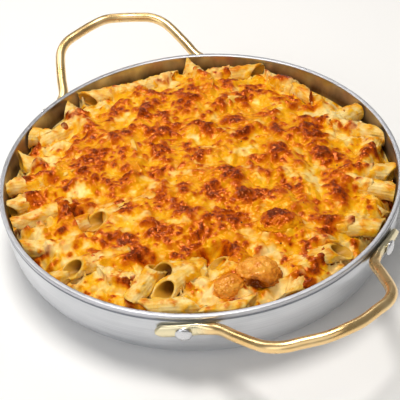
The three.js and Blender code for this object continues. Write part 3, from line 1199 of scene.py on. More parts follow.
class TopMaps:
    """Square maps over the dish, in millimetres: cell (row, column) lies at (y, x)."""

    def __init__(self, half: float = 127.28, step: float = 0.74) -> None:
        """Lays out the cells.

        Args:
            half: half the map's side.
            step: the size of a cell.
        """
        self.half = half
        self.step = step
        self.count = int(round(2 * half / step)) + 1
        line = np.linspace(-half, half, self.count)
        self.x, self.y = np.meshgrid(line, line)
        self.reach = np.hypot(self.x, self.y)
        self.across = self.x * math.cos(LAYOUT_TURN) + self.y * math.sin(LAYOUT_TURN)
        self.away = self.y * math.cos(LAYOUT_TURN) - self.x * math.sin(LAYOUT_TURN)
        freq = np.fft.fftfreq(self.count, step)
        self.freq_square = freq[:, None] ** 2 + freq[None, : self.count // 2 + 1] ** 2

    def noise(self, size: float, seed: int, octaves: int = 1) -> np.ndarray:
        """Smooth noise from about -1 to 1.

        Args:
            size: of its largest lumps.
            seed: of the random numbers.
            octaves: how many finer layers it has.

        Returns:
            The map.
        """
        total = np.zeros_like(self.x)
        for octave in range(octaves):
            rng = np.random.default_rng(seed * 31 + octave)
            angle = rng.uniform(0, 2 * math.pi)
            cell = size / 2**octave
            span = int(2.9 * self.half / cell) + 4
            lattice = rng.uniform(-1, 1, (span, span))
            u = (self.x * math.cos(angle) - self.y * math.sin(angle)) / cell + span / 2
            v = (self.x * math.sin(angle) + self.y * math.cos(angle)) / cell + span / 2
            iu, iv = np.floor(u).astype(int), np.floor(v).astype(int)
            fu, fv = smoothstep(0, 1, u - iu), smoothstep(0, 1, v - iv)
            low = lattice[iv, iu] * (1 - fu) + lattice[iv, iu + 1] * fu
            high = lattice[iv + 1, iu] * (1 - fu) + lattice[iv + 1, iu + 1] * fu
            total += (low * (1 - fv) + high * fv) * 0.55**octave
        return total

    def blur(self, values: np.ndarray, sigma: float) -> np.ndarray:
        """A map softened by a Gaussian of that many millimetres."""
        soft = np.fft.rfft2(values) * np.exp(-2 * (math.pi * sigma) ** 2 * self.freq_square)
        return np.fft.irfft2(soft, s=values.shape)

    def spots(self, spots: tuple[Spot, ...], ragged: float, seed: int, hard: float = 1.0) -> np.ndarray:
        """Patches with uneven edges.

        Args:
            spots: the patches.
            ragged: how far their edges wander.
            seed: of that wandering.
            hard: above 1 for a flatter top and a steeper edge.

        Returns:
            A map of the strongest patch at each cell, from 0.
        """
        du = ragged * self.noise(7, seed, 3)
        dv = ragged * self.noise(7, seed + 1, 3)
        result = np.zeros_like(self.x)
        for spot in spots:
            turn = math.radians(spot.turn)
            a = self.across + du - spot.across
            b = self.away + dv - spot.away
            u = (a * math.cos(turn) + b * math.sin(turn)) / spot.long
            v = (b * math.cos(turn) - a * math.sin(turn)) / spot.wide
            level = spot.strength * np.exp(-0.7 * (u * u + v * v) ** hard)
            result = np.maximum(result, level)
        return result

    def window(self, x: float, y: float, radius: float) -> Window:
        """The cells within a radius of a place.

        Args:
            x: of the place.
            y: of the place.
            radius: how far they reach.

        Returns:
            Their rows and columns.
        """
        low = [int((c - radius + self.half) / self.step) for c in (y, x)]
        high = [int((c + radius + self.half) / self.step) + 2 for c in (y, x)]
        return tuple(slice(max(0, a), min(self.count, b)) for a, b in zip(low, high))

    def sample(self, values: np.ndarray, x: float, y: float) -> float:
        """A map's value at the cell nearest to a place.

        Args:
            values: the map.
            x: of the place.
            y: of the place.

        Returns:
            The value.
        """
        column = min(self.count - 1, max(0, round((x + self.half) / self.step)))
        row = min(self.count - 1, max(0, round((y + self.half) / self.step)))
        return float(values[row, column])


# ---- Penne --------------------------------------------------------------------------------------


TUBE_RADIUS = 5.7  # mm, of a usual cooked penne


@dataclass
class Stick:
    """One penne: where its middle is, which way it lies and how it is formed."""

    x: float
    y: float
    z: float
    yaw: float
    pitch: float = 0.0
    roll: float = 0.0
    length: float = 42.0
    radius: float = TUBE_RADIUS
    bend: float = 0.0
    pinch: float = 0.0
    bare: tuple[float, float] = (0.0, 0.0)


@dataclass(frozen=True)
class Placed:
    """A penne that lies in plain sight, in the food's own axes; lift is its middle over the food's level.

    With no roll its left end's slanted cut faces up; with half a turn its right end's does.
    """

    across: float
    away: float
    turn: float
    lift: float = -2.0
    pitch: float = 0.0
    roll: float = 0.0
    length: float = 38.0
    bend: float = 0.0
    shown: tuple[float, float] = (0.0, 0.0)  # the part that is free of cheese, from -0.5 to 0.5 along it


WHOLE = (-0.55, 0.55)
PLAIN_SIGHT = (
    Placed(-66.5, -75.8, 18, -1.5, -4, 15, 30, 0.0, (-0.75, -0.2)),
    Placed(-104, -92, 35, -5.5, 0, 60, 34),
    Placed(-16.8, -97.9, 44, -1.2, -4, 12, 26, 0.0, (-0.8, 0.2)),
    Placed(-37, -97.4, 60, -2.0, 0, 190, 28, 0.0, (-0.45, 0.4)),
    Placed(-16.5, -88.6, -5, -2.6, 0, 40, 20, -0.003, (-0.8, 0.1)),
    Placed(-26, -116, -2, -3.4, 0, 90, 30, 0.0, (-0.1, 0.3)),
    Placed(-96, -28, 24, -1.6, 0, 180, 42, 0.0, (-0.55, 0.1)),
    Placed(-101, -55, -12, -6.0, 0, -80, 38),
    Placed(-51.5, -30.2, 24, -5.4, -1, 14, 34, 0.0, (-0.75, -0.3)),
    Placed(-107, 54, -14, -2.0, 0, -120, 20, 0.004, WHOLE),
    Placed(-80, 67, -56, -2.5, 0, 75, 36, 0.0, (-0.55, -0.25)),
    Placed(-90, 58, 32, -4.0, 0, -90, 36, 0.0, (-0.55, -0.1)),
    Placed(-56, 94, 10, -2.0, 0, 95, 38, 0.0, (-0.55, -0.1)),
    Placed(-104, 18, -35, -3.0, 0, 80, 36, 0.0, (-0.55, -0.2)),
    Placed(-106, 4, 6, -2.5, 0, -70, 40, 0.0, (-0.55, -0.25)),
    Placed(-108, -12, 20, -3.5, 0, 100, 36, 0.0, (-0.55, -0.2)),
    Placed(67.4, -86.2, 12, -1.8, 6, 180, 26, 0.0, (0.05, 0.8)),
    Placed(94, -63, -8, -1.5, 0, 180, 42, 0.0, (-0.1, 0.55)),
    Placed(60, -66, -40, -3.4, 0, -90, 38, 0.003),
    Placed(13.4, -90.2, -40, -3.6, 0, 10, 18, 0.0, (-0.8, -0.45)),
    Placed(106, -27, -20, -2.0, 0, 100, 38, 0.0, (0.05, 0.55)),
    Placed(107, -12, -3, -2.5, 0, -80, 36, 0.0, (0.15, 0.55)),
    Placed(106, 34, -20, -2.5, 0, 110, 36, 0.0, (0.1, 0.55)),
    Placed(100, 50, 30, -3.5, 0, 70, 36, 0.0, (0.25, 0.55)),
    Placed(112, 12, 65, -3.5, 0, 180, 34),
    Placed(66, 86, -42, -2.0, 0, 85, 38, 0.0, (0.15, 0.55)),
    Placed(28, 107, 4, -2.5, 0, -95, 38, 0.0, (0.0, 0.55)),
    Placed(4, 107, -58, -2.0, 0, 70, 34, 0.0, (-0.55, -0.15)),
    Placed(-30, 104, 20, -4.0, 0, -80, 34, 0.0, (-0.55, -0.1)),
    Placed(52, -106, 70, -4.0, 0, 90, 34),
    Placed(-62, -112, -28, -6.0, 0, 0, 34),
    Placed(-52, -91.5, -22, -3.0, 0, 90, 24),
    Placed(8, -122, 12, -4.0, 0, -90, 32, 0.0, (-0.55, -0.1)),
)


@dataclass
class PastaBed:
    """The layer of penne at the top of the dish: some placed in plain sight, the rest dropped by chance."""

    maps: TopMaps
    pan: Pan
    middle_level: float = 45.6  # height over the base of the tubes' tops, at the middle
    edge_level: float = 40.2
    edge_radius: float = 119.0
    near_raise: float = 2.4  # the near side is filled a little higher
    bed_depth: float = 13.0  # of the loose layer
    swell: float = 0.9  # of the level from place to place
    swell_size: float = 38.0
    tries: int = 1500
    seed: int = 11
    wall_gap: float = 1.2
    drop_radius: float = 121.0  # within which loose sticks fall
    drop_height: float = 38.0
    lengths: tuple[float, float] = (34.0, 43.0)
    radii: tuple[float, float] = (5.4, 5.9)
    bearing: float = 0.75  # share of its radius, either side of its middle line, on which a stick rests
    unheld: float = 3.0  # mm at a stick's middle and at its ends, where nothing holds it up
    most_slope: float = 0.3  # at which a dropped stick still lies
    nest: float = 0.82  # share of its radius that a stick stands over the ones it lies on
    cover_depth: float = 4.6  # under the level, over which no loose stick's middle lies
    apart: float = 5.0  # round the sticks in plain sight and the lumps, where loose ones lie lower
    sticks: list[Stick] = field(default_factory=list)
    tops: np.ndarray = field(default_factory=lambda: np.zeros((1, 1)))

    def __post_init__(self) -> None:
        """Works out the level of the food over the dish."""
        t = np.clip(self.maps.reach / self.edge_radius, 0, 1.05)
        self.level = self.middle_level + (self.edge_level - self.middle_level) * t * t
        self.level += self.near_raise * smoothstep(60, 125, -self.maps.away)
        self.level += self.swell * self.maps.noise(self.swell_size, 5)

    def most_reach(self, z: float) -> float:
        """How far from the axis pasta may go at a height."""
        return self.pan.inner_radius(min(z, self.pan.height)) - self.wall_gap

    def stick_cells(self, stick: Stick) -> tuple[Window, np.ndarray, np.ndarray]:
        """A stick's neighbourhood.

        Args:
            stick: the stick.

        Returns:
            Its window, and each cell's place along and across the stick.
        """
        window = self.maps.window(stick.x, stick.y, stick.length / 2 + 2 * stick.radius)
        dx = self.maps.x[window] - stick.x
        dy = self.maps.y[window] - stick.y
        along = dx * math.cos(stick.yaw) + dy * math.sin(stick.yaw)
        across = dy * math.cos(stick.yaw) - dx * math.sin(stick.yaw)
        return window, along, across

    def stamp(self, stick: Stick) -> None:
        """Raises the map of tops by one stick.

        Args:
            stick: the stick.
        """
        window, along, across = self.stick_cells(stick)
        rise = np.sqrt(np.maximum(0, stick.radius**2 - across**2))
        slant = (rise * math.cos(stick.roll) - across * math.sin(stick.roll)) * math.tan(Penne.cut)
        on = (np.abs(along - slant) < stick.length / 2) & (np.abs(across) < stick.radius)
        top = stick.z + along * math.tan(stick.pitch) + rise
        patch = self.tops[window]
        patch[on] = np.maximum(patch[on], top[on])

    def reaches_wall(self, stick: Stick) -> bool:
        """Whether either end of a stick would touch the pan's wall.

        Args:
            stick: the stick.

        Returns:
            True where one does.
        """
        half = stick.length / 2 + 2
        for end in (-half, half):
            x = stick.x + end * math.cos(stick.yaw)
            y = stick.y + end * math.sin(stick.yaw)
            if math.hypot(x, y) > self.most_reach(stick.z):
                return True
        return False

    def settle(self, stick: Stick) -> bool:
        """Lets a stick down on the bed until it rests at two places.

        Args:
            stick: the stick, whose height and pitch change.

        Returns:
            Whether it lies well.
        """
        window, along, across = self.stick_cells(stick)
        under = np.abs(across) < stick.radius * self.bearing
        half = stick.length / 2 - self.unheld
        left = under & (along > -half) & (along < -self.unheld)
        right = under & (along < half) & (along > self.unheld)
        heights = self.tops[window]
        if not left.any() or not right.any():
            return False
        supports = []
        for part in (left, right):
            index = np.argmax(np.where(part, heights, -99.0))
            supports.append((along.flat[index], heights.flat[index]))
        (t1, h1), (t2, h2) = supports
        slope = (h2 - h1) / (t2 - t1)
        if abs(slope) > self.most_slope:
            return False
        stick.pitch = math.atan(slope)
        stick.z = h1 - slope * t1 + stick.radius * self.nest
        return True

    def place_visible(self) -> list[Stick]:
        """Makes the sticks that lie in plain sight.

        Returns:
            The sticks.
        """
        made = []
        draw = random.Random(self.seed)
        for item in PLAIN_SIGHT:
            x, y = on_dish(item.across, item.away)
            stick = Stick(
                x=x,
                y=y,
                z=self.maps.sample(self.level, x, y) + item.lift,
                yaw=math.radians(item.turn) + LAYOUT_TURN,
                pitch=math.radians(item.pitch),
                roll=math.radians(item.roll),
                length=item.length,
                bend=item.bend,
                pinch=draw.uniform(-0.12, 0.12),
                bare=item.shown,
            )
            made.append(stick)
        return made

    def drop_others(self, ceiling: np.ndarray) -> None:
        """Drops sticks by chance until the bed is full.

        Args:
            ceiling: the highest that a stick's middle may lie, over the dish.
        """
        draw = random.Random(self.seed + 1)
        for _ in range(self.tries):
            reach = self.drop_radius * math.sqrt(draw.random())
            angle = draw.uniform(0, 2 * math.pi)
            stick = Stick(
                x=reach * math.cos(angle),
                y=reach * math.sin(angle),
                z=self.drop_height,
                yaw=draw.uniform(0, math.pi),
                roll=draw.uniform(0, 2 * math.pi),
                length=draw.uniform(*self.lengths),
                radius=draw.uniform(*self.radii),
                bend=draw.uniform(-0.003, 0.003),
                pinch=draw.uniform(-0.14, 0.14),
            )
            if self.reaches_wall(stick) or not self.settle(stick):
                continue
            if stick.z > self.maps.sample(ceiling, stick.x, stick.y):
                continue
            self.sticks.append(stick)
            self.stamp(stick)

    def fill(self, lumps: list["Lump"]) -> None:
        """Fills the dish: a floor, dropped sticks, then the ones in plain sight.

        Args:
            lumps: the mushroom pieces, which keep their room.
        """
        self.tops = self.level - self.bed_depth
        visible = self.place_visible()
        ceiling = self.level - self.cover_depth
        for stick in visible:
            window, along, across = self.stick_cells(stick)
            near = np.abs(along) < stick.length / 2 + self.apart
            near &= np.abs(across) < stick.radius + self.apart
            patch = ceiling[window]
            patch[near] = np.minimum(patch[near], stick.z - 2 * stick.radius + 1.5)
        for lump in lumps:
            near = np.hypot(self.maps.x - lump.at[0], self.maps.y - lump.at[1]) < lump.size[0] + self.apart
            ceiling[near] = np.minimum(ceiling[near], lump.at[2] - lump.size[2] - 3)
        self.drop_others(ceiling)
        for stick in visible:
            self.sticks.append(stick)
            self.stamp(stick)
        LOG.info("penne in the top layer: %d", len(self.sticks))


@dataclass
class Penne:
    """The form of one ridged tube and the mesh of all that show."""

    bed: PastaBed
    wall: float = 1.25
    ridges: int = 18
    ridge_depth: float = 0.2
    coat_depth: float = 0.9  # of the cheese that clings to a tube
    cut: float = math.radians(50)
    edge_round: float = 0.4
    usual_length: float = 40.0  # mm, at which the ends' rounding is true
    outer_rings: int = 20
    bore: float = 5.0  # mm from the template's axis, under which a point is inside the tube
    slump: float = 0.97  # share of its height that a tube keeps as it softens
    smears: tuple[float, float] = (4.8, 2.1)  # mm, of the broad and the fine smears of cheese
    most_toast: float = 0.55
    hidden_under: float = 1.0  # mm of cheese over a stick, past which it is left out

    def template(self) -> bmesh.types.BMesh:
        """A straight tube along X, one unit long.

        Returns:
            Its mesh.
        """
        bm = bmesh.new()
        outer, inner = TUBE_RADIUS, TUBE_RADIUS - self.wall
        half, soft = 0.5, self.edge_round / self.usual_length
        last = self.outer_rings - 1
        line = [(outer, half * (-1 + 2 * soft) * (1 - 2 * i / last)) for i in range(self.outer_rings)]
        line += [(outer - self.edge_round, half), (inner + self.edge_round * 0.8, half)]
        line += [(inner, half * t) for t in (1 - 3 * soft, 0.7, 0.35, 0.0, -0.35, -0.7, -1 + 3 * soft)]
        line += [(inner + self.edge_round * 0.8, -half), (outer - self.edge_round, -half)]
        spin_closed(bm, add_profile(bm, line, closed=True), 3 * self.ridges)
        bmesh.ops.rotate(bm, cent=(0, 0, 0), matrix=Matrix.Rotation(math.pi / 2, 3, "Y"), verts=bm.verts)
        bmesh.ops.recalc_face_normals(bm, faces=bm.faces)
        return bm

    def shape(self, places: np.ndarray, stick: Stick, coat: np.ndarray) -> np.ndarray:
        """The template's points as one stick's, in the frame.

        Args:
            places: the template's points, one a row.
            stick: the stick.
            coat: how much cheese clings at each point, from 0 to 1.

        Returns:
            The points in the frame.
        """
        x, y, z = places.T.copy()
        angle = np.arctan2(z, y)
        ring = np.hypot(y, z)
        outside = ring > self.bore
        ridge = 1 + self.ridge_depth / TUBE_RADIUS * np.cos(self.ridges * angle) * outside * (1 - coat)
        ridge += self.coat_depth / TUBE_RADIUS * coat
        scale = stick.radius / TUBE_RADIUS
        y, z = y * ridge * scale, z * ridge * scale
        x = x * stick.length + z * math.tan(self.cut)
        ends = (x / (stick.length / 2)) ** 2
        y *= 1 + stick.pinch * ends
        z *= self.slump - stick.pinch * ends
        y += stick.bend * x * x
        points = np.stack([x, y, z])
        turn = (
            Matrix.Rotation(stick.yaw, 3, "Z")
            @ Matrix.Rotation(-stick.pitch, 3, "Y")
            @ Matrix.Rotation(stick.roll, 3, "X")
        )
        points = np.array(turn) @ points
        points += np.array([[stick.x], [stick.y], [stick.z]])
        return self.keep_in_pan(points.T)

    def keep_in_pan(self, points: np.ndarray) -> np.ndarray:
        """Presses points that would stand in the pan's wall back inside it.

        Args:
            points: the points, one a row.

        Returns:
            The same points, in the pan.
        """
        reach = np.hypot(points[:, 0], points[:, 1])
        most = np.array([self.bed.most_reach(z) for z in points[:, 2]])
        over = reach > most
        points[over, :2] *= (most[over] / reach[over])[:, None]
        return points

    def shows(self, stick: Stick, crust: np.ndarray) -> bool:
        """Whether any part of a stick comes near the top of the cheese.

        Args:
            stick: the stick.
            crust: the height of the cheese over the dish.

        Returns:
            True where it does.
        """
        maps = self.bed.maps
        for t in (-0.45, -0.25, 0, 0.25, 0.45):
            along = t * stick.length
            x = stick.x + along * math.cos(stick.yaw)
            y = stick.y + along * math.sin(stick.yaw)
            top = stick.z + along * math.tan(stick.pitch) + stick.radius
            if maps.sample(crust, x, y) < top + self.hidden_under:
                return True
        return False

    def clinging(self, points: np.ndarray, inner: np.ndarray) -> np.ndarray:
        """How much cheese clings to a tube at each of its points, from 0 to 1.

        Args:
            points: the tube's points in the frame.
            inner: which of them are inside the tube.

        Returns:
            A number for each point.
        """
        broad, fine = self.smears
        smeared = np.array(
            [noise.noise(Vector(p) / broad) + 0.35 * noise.noise(Vector(p) / fine) for p in points]
        )
        return smoothstep(0.0, 0.3, smeared + 0.02) * ~inner

    def build(self, crust: "Crust") -> bpy.types.Object:
        """Joins all the sticks that show into one mesh, toasted where the crust is.

        Args:
            crust: the cheese over them.

        Returns:
            The penne.
        """
        shown = [s for s in self.bed.sticks if self.shows(s, crust.height)]
        template = self.template()
        base = np.array([v.co for v in template.verts])
        inner = np.hypot(base[:, 1], base[:, 2]) < self.bore
        mesh = bpy.data.meshes.new("penne_form")
        template.to_mesh(mesh)
        template.free()
        bm = bmesh.new()
        toast = bm.verts.layers.float.new("toast")
        hollow = bm.verts.layers.float.new("hollow")
        coated = bm.verts.layers.float.new("coat")
        maps = self.bed.maps
        for stick in shown:
            start = len(bm.verts)
            bm.from_mesh(mesh)
            bm.verts.ensure_lookup_table()
            coat = self.clinging(self.shape(base, stick, np.zeros(len(base))), inner)
            points = self.shape(base, stick, coat)
            for i, point in enumerate(points):
                vert = bm.verts[start + i]
                vert.co = point
                up = (point[2] - stick.z) / stick.radius
                level = maps.sample(crust.toast, point[0], point[1])
                brown = (0.36 * level + 0.24 * coat[i]) * float(smoothstep(-0.3, 0.7, up))
                vert[toast] = max(0.0, min(self.most_toast, brown))
                # painted shade: the inside of the tube, deepest away from its ends
                vert[hollow] = inner[i] * (1.0 - 0.5 * float(smoothstep(0.2, 0.42, abs(base[i][0]))))
                vert[coated] = coat[i]
        bpy.data.meshes.remove(mesh)
        LOG.info("penne that show: %d", len(shown))
        pasta = SaucedPasta().make()
        return finish_piece(bm, "penne_rigate", [pasta], ("baked_penne",))


# ---- Cheese crust -------------------------------------------------------------------------------


@dataclass
class Crust:
    """The melted, blistered cheese over the pasta, and the filling under it down to the pan's floor."""

    bed: PastaBed
    pan: Pan
    seed: int = 3
    bubbles: int = 8000
    beads: int = 5000
    curds: int = 5200
    bubble_radii: tuple[float, float, float] = (1.2, 2.3, 4.2)  # least, usual and most
    curd_radii: tuple[float, float, float] = (0.9, 1.9, 4.0)
    curd_reach: float = 80.0  # how far from the axis the curds begin
    spread_radius: float = 123.0
    edge_radius: float = 124.6
    floor_gap: float = 0.5
    wall_foot: float = 30.0  # height over the base at which the filling's side leaves the straight wall
    outer_ring: tuple[float, float] = (78.0, 100.0)  # over which it turns rough and pale, from the axis
    fall_from: float = 113.0  # how far from the axis the crust begins to fall to its edge
    fall_width: float = 10.0
    fall: tuple[float, float] = (9.5, 6.5)  # how deep, and how much less at the near side
    lip: float = 0.6  # how far the crust's edge stays under the rim
    open_end: float = 0.7  # how far out a stick is bare where its opening shows
    height: np.ndarray = field(default_factory=lambda: np.zeros((1, 1)))
    toast: np.ndarray = field(default_factory=lambda: np.zeros((1, 1)))
    cream: np.ndarray = field(default_factory=lambda: np.zeros((1, 1)))

    def cover(self) -> np.ndarray:
        """How far the cheese covers the pasta.

        Returns:
            A share for each cell: 0 is bare, a third a thin coat and 1 a thick blanket.
        """
        maps = self.bed.maps
        reach = maps.reach + 8 * maps.noise(26, 41, 2)
        patches = 0.34 * maps.noise(9, 43, 2) * smoothstep(80, 106, reach)
        covered = 1 - 0.56 * smoothstep(84, 108, reach) + patches
        patchy = maps.noise(6, 45, 2)
        for item in PLAIN_SIGHT:
            turn = math.radians(item.turn)
            a, b = maps.across - item.across, maps.away - item.away
            u = (a * math.cos(turn) + b * math.sin(turn)) / item.length + 0.09 * patchy
            v = (b * math.cos(turn) - a * math.sin(turn)) / 7.5
            low, high = item.shown
            along = smoothstep(low - 0.1, low + 0.08, u) * (1 - smoothstep(high - 0.08, high + 0.1, u))
            covered = covered - (0.75 + 0.3 * patchy) * (high > low) * along * np.exp(-(v**4))
        return np.clip(covered, 0, 1)

    def dome(self, rng: np.random.Generator, x: float, y: float, radius: float) -> tuple[Window, np.ndarray]:
        """A slightly oval spot.

        Args:
            rng: what its form is drawn from.
            x: of its middle.
            y: of its middle.
            radius: its size.

        Returns:
            Its window, and each cell's distance from its middle, 1 at its edge.
        """
        window = self.bed.maps.window(x, y, radius * 2.2)
        turn, oval = rng.uniform(0, math.pi), rng.uniform(1.0, 1.5)
        dx, dy = self.bed.maps.x[window] - x, self.bed.maps.y[window] - y
        u = (dx * math.cos(turn) + dy * math.sin(turn)) / (radius * oval)
        v = (dy * math.cos(turn) - dx * math.sin(turn)) * oval / radius
        return window, np.sqrt(u * u + v * v)

    def scatter(self, rng: np.random.Generator, tries: int) -> list[tuple[float, float]]:
        """Places spread by chance over the dish.

        Args:
            rng: what they are drawn from.
            tries: how many there are.

        Returns:
            The places.
        """
        reach = self.spread_radius * np.sqrt(rng.random(tries))
        angle = rng.uniform(0, 2 * math.pi, tries)
        return list(zip(reach * np.cos(angle), reach * np.sin(angle)))

    def puffed(self, browned: np.ndarray, cover: np.ndarray) -> tuple[np.ndarray, np.ndarray]:
        """Bubbles of cheese that puffed up, side by side, and browned on top.

        Args:
            browned: the main browned patches.
            cover: how thick the cheese lies.

        Returns:
            Their height in millimetres, and how toasted they are.
        """
        maps = self.bed.maps
        rng = np.random.default_rng(self.seed)
        least, usual, most = self.bubble_radii
        rise, toasted = np.zeros_like(browned), np.zeros_like(browned)
        for x, y in self.scatter(rng, self.bubbles):
            brown = maps.sample(browned, x, y)
            if rng.random() > (0.2 + 0.95 * brown) * (0.25 + 0.75 * maps.sample(cover, x, y)):
                continue
            radius = min(most, max(least, rng.lognormal(math.log(usual), 0.35)))
            level = min(1.0, max(0.1, 0.55 * brown + rng.uniform(-0.05, 0.6)))
            high = radius * (0.48 + 0.44 * level) * rng.uniform(0.8, 1.2)
            if maps.sample(rise, x, y) > 0.45 * high:
                continue
            window, far = self.dome(rng, x, y, radius)
            rise[window] = np.maximum(rise[window], high * np.maximum(0, 1 - far**2) ** 0.8)
            halo = 0.58 * np.exp(-1.5 * far**2) + 0.42 * np.exp(-0.32 * far**2)
            toasted[window] = np.maximum(toasted[window], level * halo)
        for x, y in self.scatter(rng, self.beads):
            if rng.random() > 0.04 + 0.5 * maps.sample(toasted, x, y):
                continue
            radius = rng.uniform(0.8, 1.5)
            window, far = self.dome(rng, x, y, radius)
            bead = 0.6 * radius * np.maximum(0, 1 - far**2) ** 0.8
            rise[window] = np.maximum(rise[window], maps.sample(rise, x, y) * 0.8 + bead)
            toasted[window] += 0.12 * np.exp(-1.2 * far**2)
        return rise, toasted

    def curdled(self, cover: np.ndarray) -> tuple[np.ndarray, np.ndarray]:
        """Chunks of thick sauce that cling to the pasta round the edge, a few of them browned.

        Args:
            cover: how thick the cheese lies.

        Returns:
            Their height in millimetres, and how toasted they are.
        """
        maps = self.bed.maps
        rng = np.random.default_rng(self.seed + 1)
        least, usual, most = self.curd_radii
        rise, toasted = np.zeros_like(cover), np.zeros_like(cover)
        for x, y in self.scatter(rng, self.curds):
            here = maps.sample(cover, x, y)
            if math.hypot(x, y) < self.curd_reach or rng.random() > 0.75 * (1 - here) + 0.12:
                continue
            radius = min(most, max(least, rng.lognormal(math.log(usual), 0.4)))
            window, far = self.dome(rng, x, y, radius)
            high = radius * rng.uniform(0.45, 0.8)
            rise[window] = np.maximum(rise[window], high * np.maximum(0, 1 - far**2) ** 0.7)
            browned = rng.random() < 0.2
            level = rng.uniform(0.3, 0.7) if browned else rng.uniform(0.0, 0.12)
            toasted[window] = np.maximum(toasted[window], level * np.exp(-0.9 * far**2))
        return rise, toasted

    def draped(self, cover: np.ndarray) -> tuple[np.ndarray, np.ndarray]:
        """How the cheese lies on the pasta before it puffs up.

        Args:
            cover: how thick it lies.

        Returns:
            Its height, and the height of a mere thin coat.
        """
        maps, tops, level = self.bed.maps, self.bed.tops, self.bed.level
        filled = level - 3.6 + 1.7 * maps.noise(8.0, 65, 2)
        coat = soft_max(maps.blur(tops, 1.1) * 0.6 + maps.blur(tops, 2.4) * 0.4 + 0.4, tops + 0.1, 0.6)
        coat = soft_max(coat, filled, 1.5)
        melted = level - 0.1 + 0.4 * (maps.blur(tops, 4.0) - maps.blur(tops, 14.0))
        blanket = soft_max(maps.blur(tops, 2.3) + 1.2, melted, 1.2)
        sunk = filled + 0.12 * (maps.blur(tops, 3.0) - level) + 0.6
        height = sunk + (coat - sunk) * smoothstep(0.06, 0.34, cover)
        height += (blanket - coat) * smoothstep(0.4, 0.95, cover)
        return height, coat

    def shape(self, lumps: list["Lump"]) -> None:
        """Works out the crust's height, browning and paleness over the dish, with painted shade darkening its
        pits.

        Args:
            lumps: the mushroom pieces that stand in it.
        """
        maps = self.bed.maps
        cover = maps.blur(self.cover(), 1.0)
        browned = maps.spots(BROWNED, 3.0, 51, 1.2)
        creamy = maps.spots(CREAMY, 4.0, 53, 1.0)
        height, coat = self.draped(cover)
        rise, toasted = self.puffed(browned * (1 - 0.5 * creamy), cover)
        curds, flecks = self.curdled(cover)
        perched = np.maximum(height, coat - 0.5)
        height += (perched - height) * smoothstep(0.35, 1.2, curds)
        rise = maps.blur(np.maximum(rise, curds), 0.3)
        toasted = np.maximum(toasted, flecks)
        wrinkle = maps.noise(4.5, 61, 2)
        swell = maps.noise(14.0, 63, 2)
        ridge = height - maps.blur(height, 8.0)
        outer = smoothstep(*self.outer_ring, maps.reach)
        rough = maps.noise(2.6, 67, 2) * outer
        height += rise + 0.26 * wrinkle + 0.45 * rough + 0.5 * swell * cover + 0.5 * browned * cover
        # painted shade: cells well below the blurred tops are pits, darkened through the toast ramp and kept
        # from turning pale
        pit_shade = smoothstep(2.0, 6.0, maps.blur(np.maximum(height, self.bed.tops), 2.0) - height)
        toast = 1.05 * toasted + 0.08 * browned + 0.08 * maps.noise(10.0, 71, 3)
        toast += 0.06 * maps.noise(2.6, 73, 2)
        thin = smoothstep(0.1, 0.7, 1 - cover)
        toast += (0.05 + 0.05 * thin) * ridge + 0.05 * swell - 0.34 * creamy - 0.2 * thin + 0.5 * pit_shade
        cream = 0.9 * creamy - 0.9 * browned + 0.6 * maps.noise(6, 75, 3) - 0.12 - 1.1 * toasted
        cream += 0.6 * thin
        cream -= pit_shade
        self.cream = np.clip(cream, 0, 0.85)
        toast -= 0.5 * self.cream
        self.toast = self.ranked(toast - 0.5 * maps.blur(toast, 9.0) - 0.07 * outer)
        self.height = self.clear_tubes(self.edge(self.make_room(height, lumps)))

    def clear_tubes(self, height: np.ndarray) -> np.ndarray:
        """Lowers the crust from over and inside the bare parts of the penne to under them.

        Args:
            height: the crust's height.

        Returns:
            Its new height.
        """
        height = height.copy()
        ragged = self.bed.maps.noise(5.0, 47, 2)
        for stick in self.bed.sticks:
            low, high = stick.bare
            if high <= low:
                continue
            window, along, across = self.bed.stick_cells(stick)
            patch = height[window]
            axis = stick.z + along * math.tan(stick.pitch)
            uneven = 0.06 * ragged[window]
            on = (along > (low + uneven) * stick.length) & (along < (high + uneven) * stick.length)
            on &= np.abs(across) < stick.radius - 0.2
            patch[on] = np.minimum(patch[on], axis[on] - stick.radius)
            for way, opened in ((-1, low <= -self.open_end), (1, high >= self.open_end)):
                if not opened:
                    continue
                past = way * along - stick.length / 2
                mouth = axis - np.clip(past / math.tan(Penne.cut), -stick.radius, stick.radius) - 0.4
                beside = np.maximum(0, np.abs(across) - stick.radius - 0.6)
                beyond = np.maximum(0, past - stick.radius * math.tan(Penne.cut) - 1.5)
                patch[:] = np.minimum(patch, mouth + 1.1 * np.maximum(beside, beyond) + 0.8 * ragged[window])
        return height

    def ranked(self, values: np.ndarray) -> np.ndarray:
        """Spreads a map evenly from 0 to 1, so that each tone of the crust keeps its share.

        Args:
            values: the map.

        Returns:
            Each cell's rank among those of the crust.
        """
        inside = np.sort(values[self.bed.maps.reach < self.edge_radius])
        return np.searchsorted(inside, values) / len(inside)

    def make_room(self, height: np.ndarray, lumps: list["Lump"]) -> np.ndarray:
        """Lets the cheese end against the mushroom pieces and climb a little round them.

        Args:
            height: the crust's height.
            lumps: the mushroom pieces.

        Returns:
            Its new height.
        """
        maps = self.bed.maps
        for lump in lumps:
            dx, dy = maps.x - lump.at[0], maps.y - lump.at[1]
            u = (dx * math.cos(lump.turn) + dy * math.sin(lump.turn)) / lump.size[0]
            v = (dy * math.cos(lump.turn) - dx * math.sin(lump.turn)) / lump.size[1]
            away = np.sqrt(u * u + v * v)
            sink = 1 - smoothstep(0.55, 0.86, away)
            collar = np.exp(-(((away - 0.98) / 0.2) ** 2)) * lump.collar
            floor = lump.at[2] - lump.size[2] * 0.55
            height = height + collar
            height = height * (1 - sink) + np.minimum(height, floor) * sink
        return height

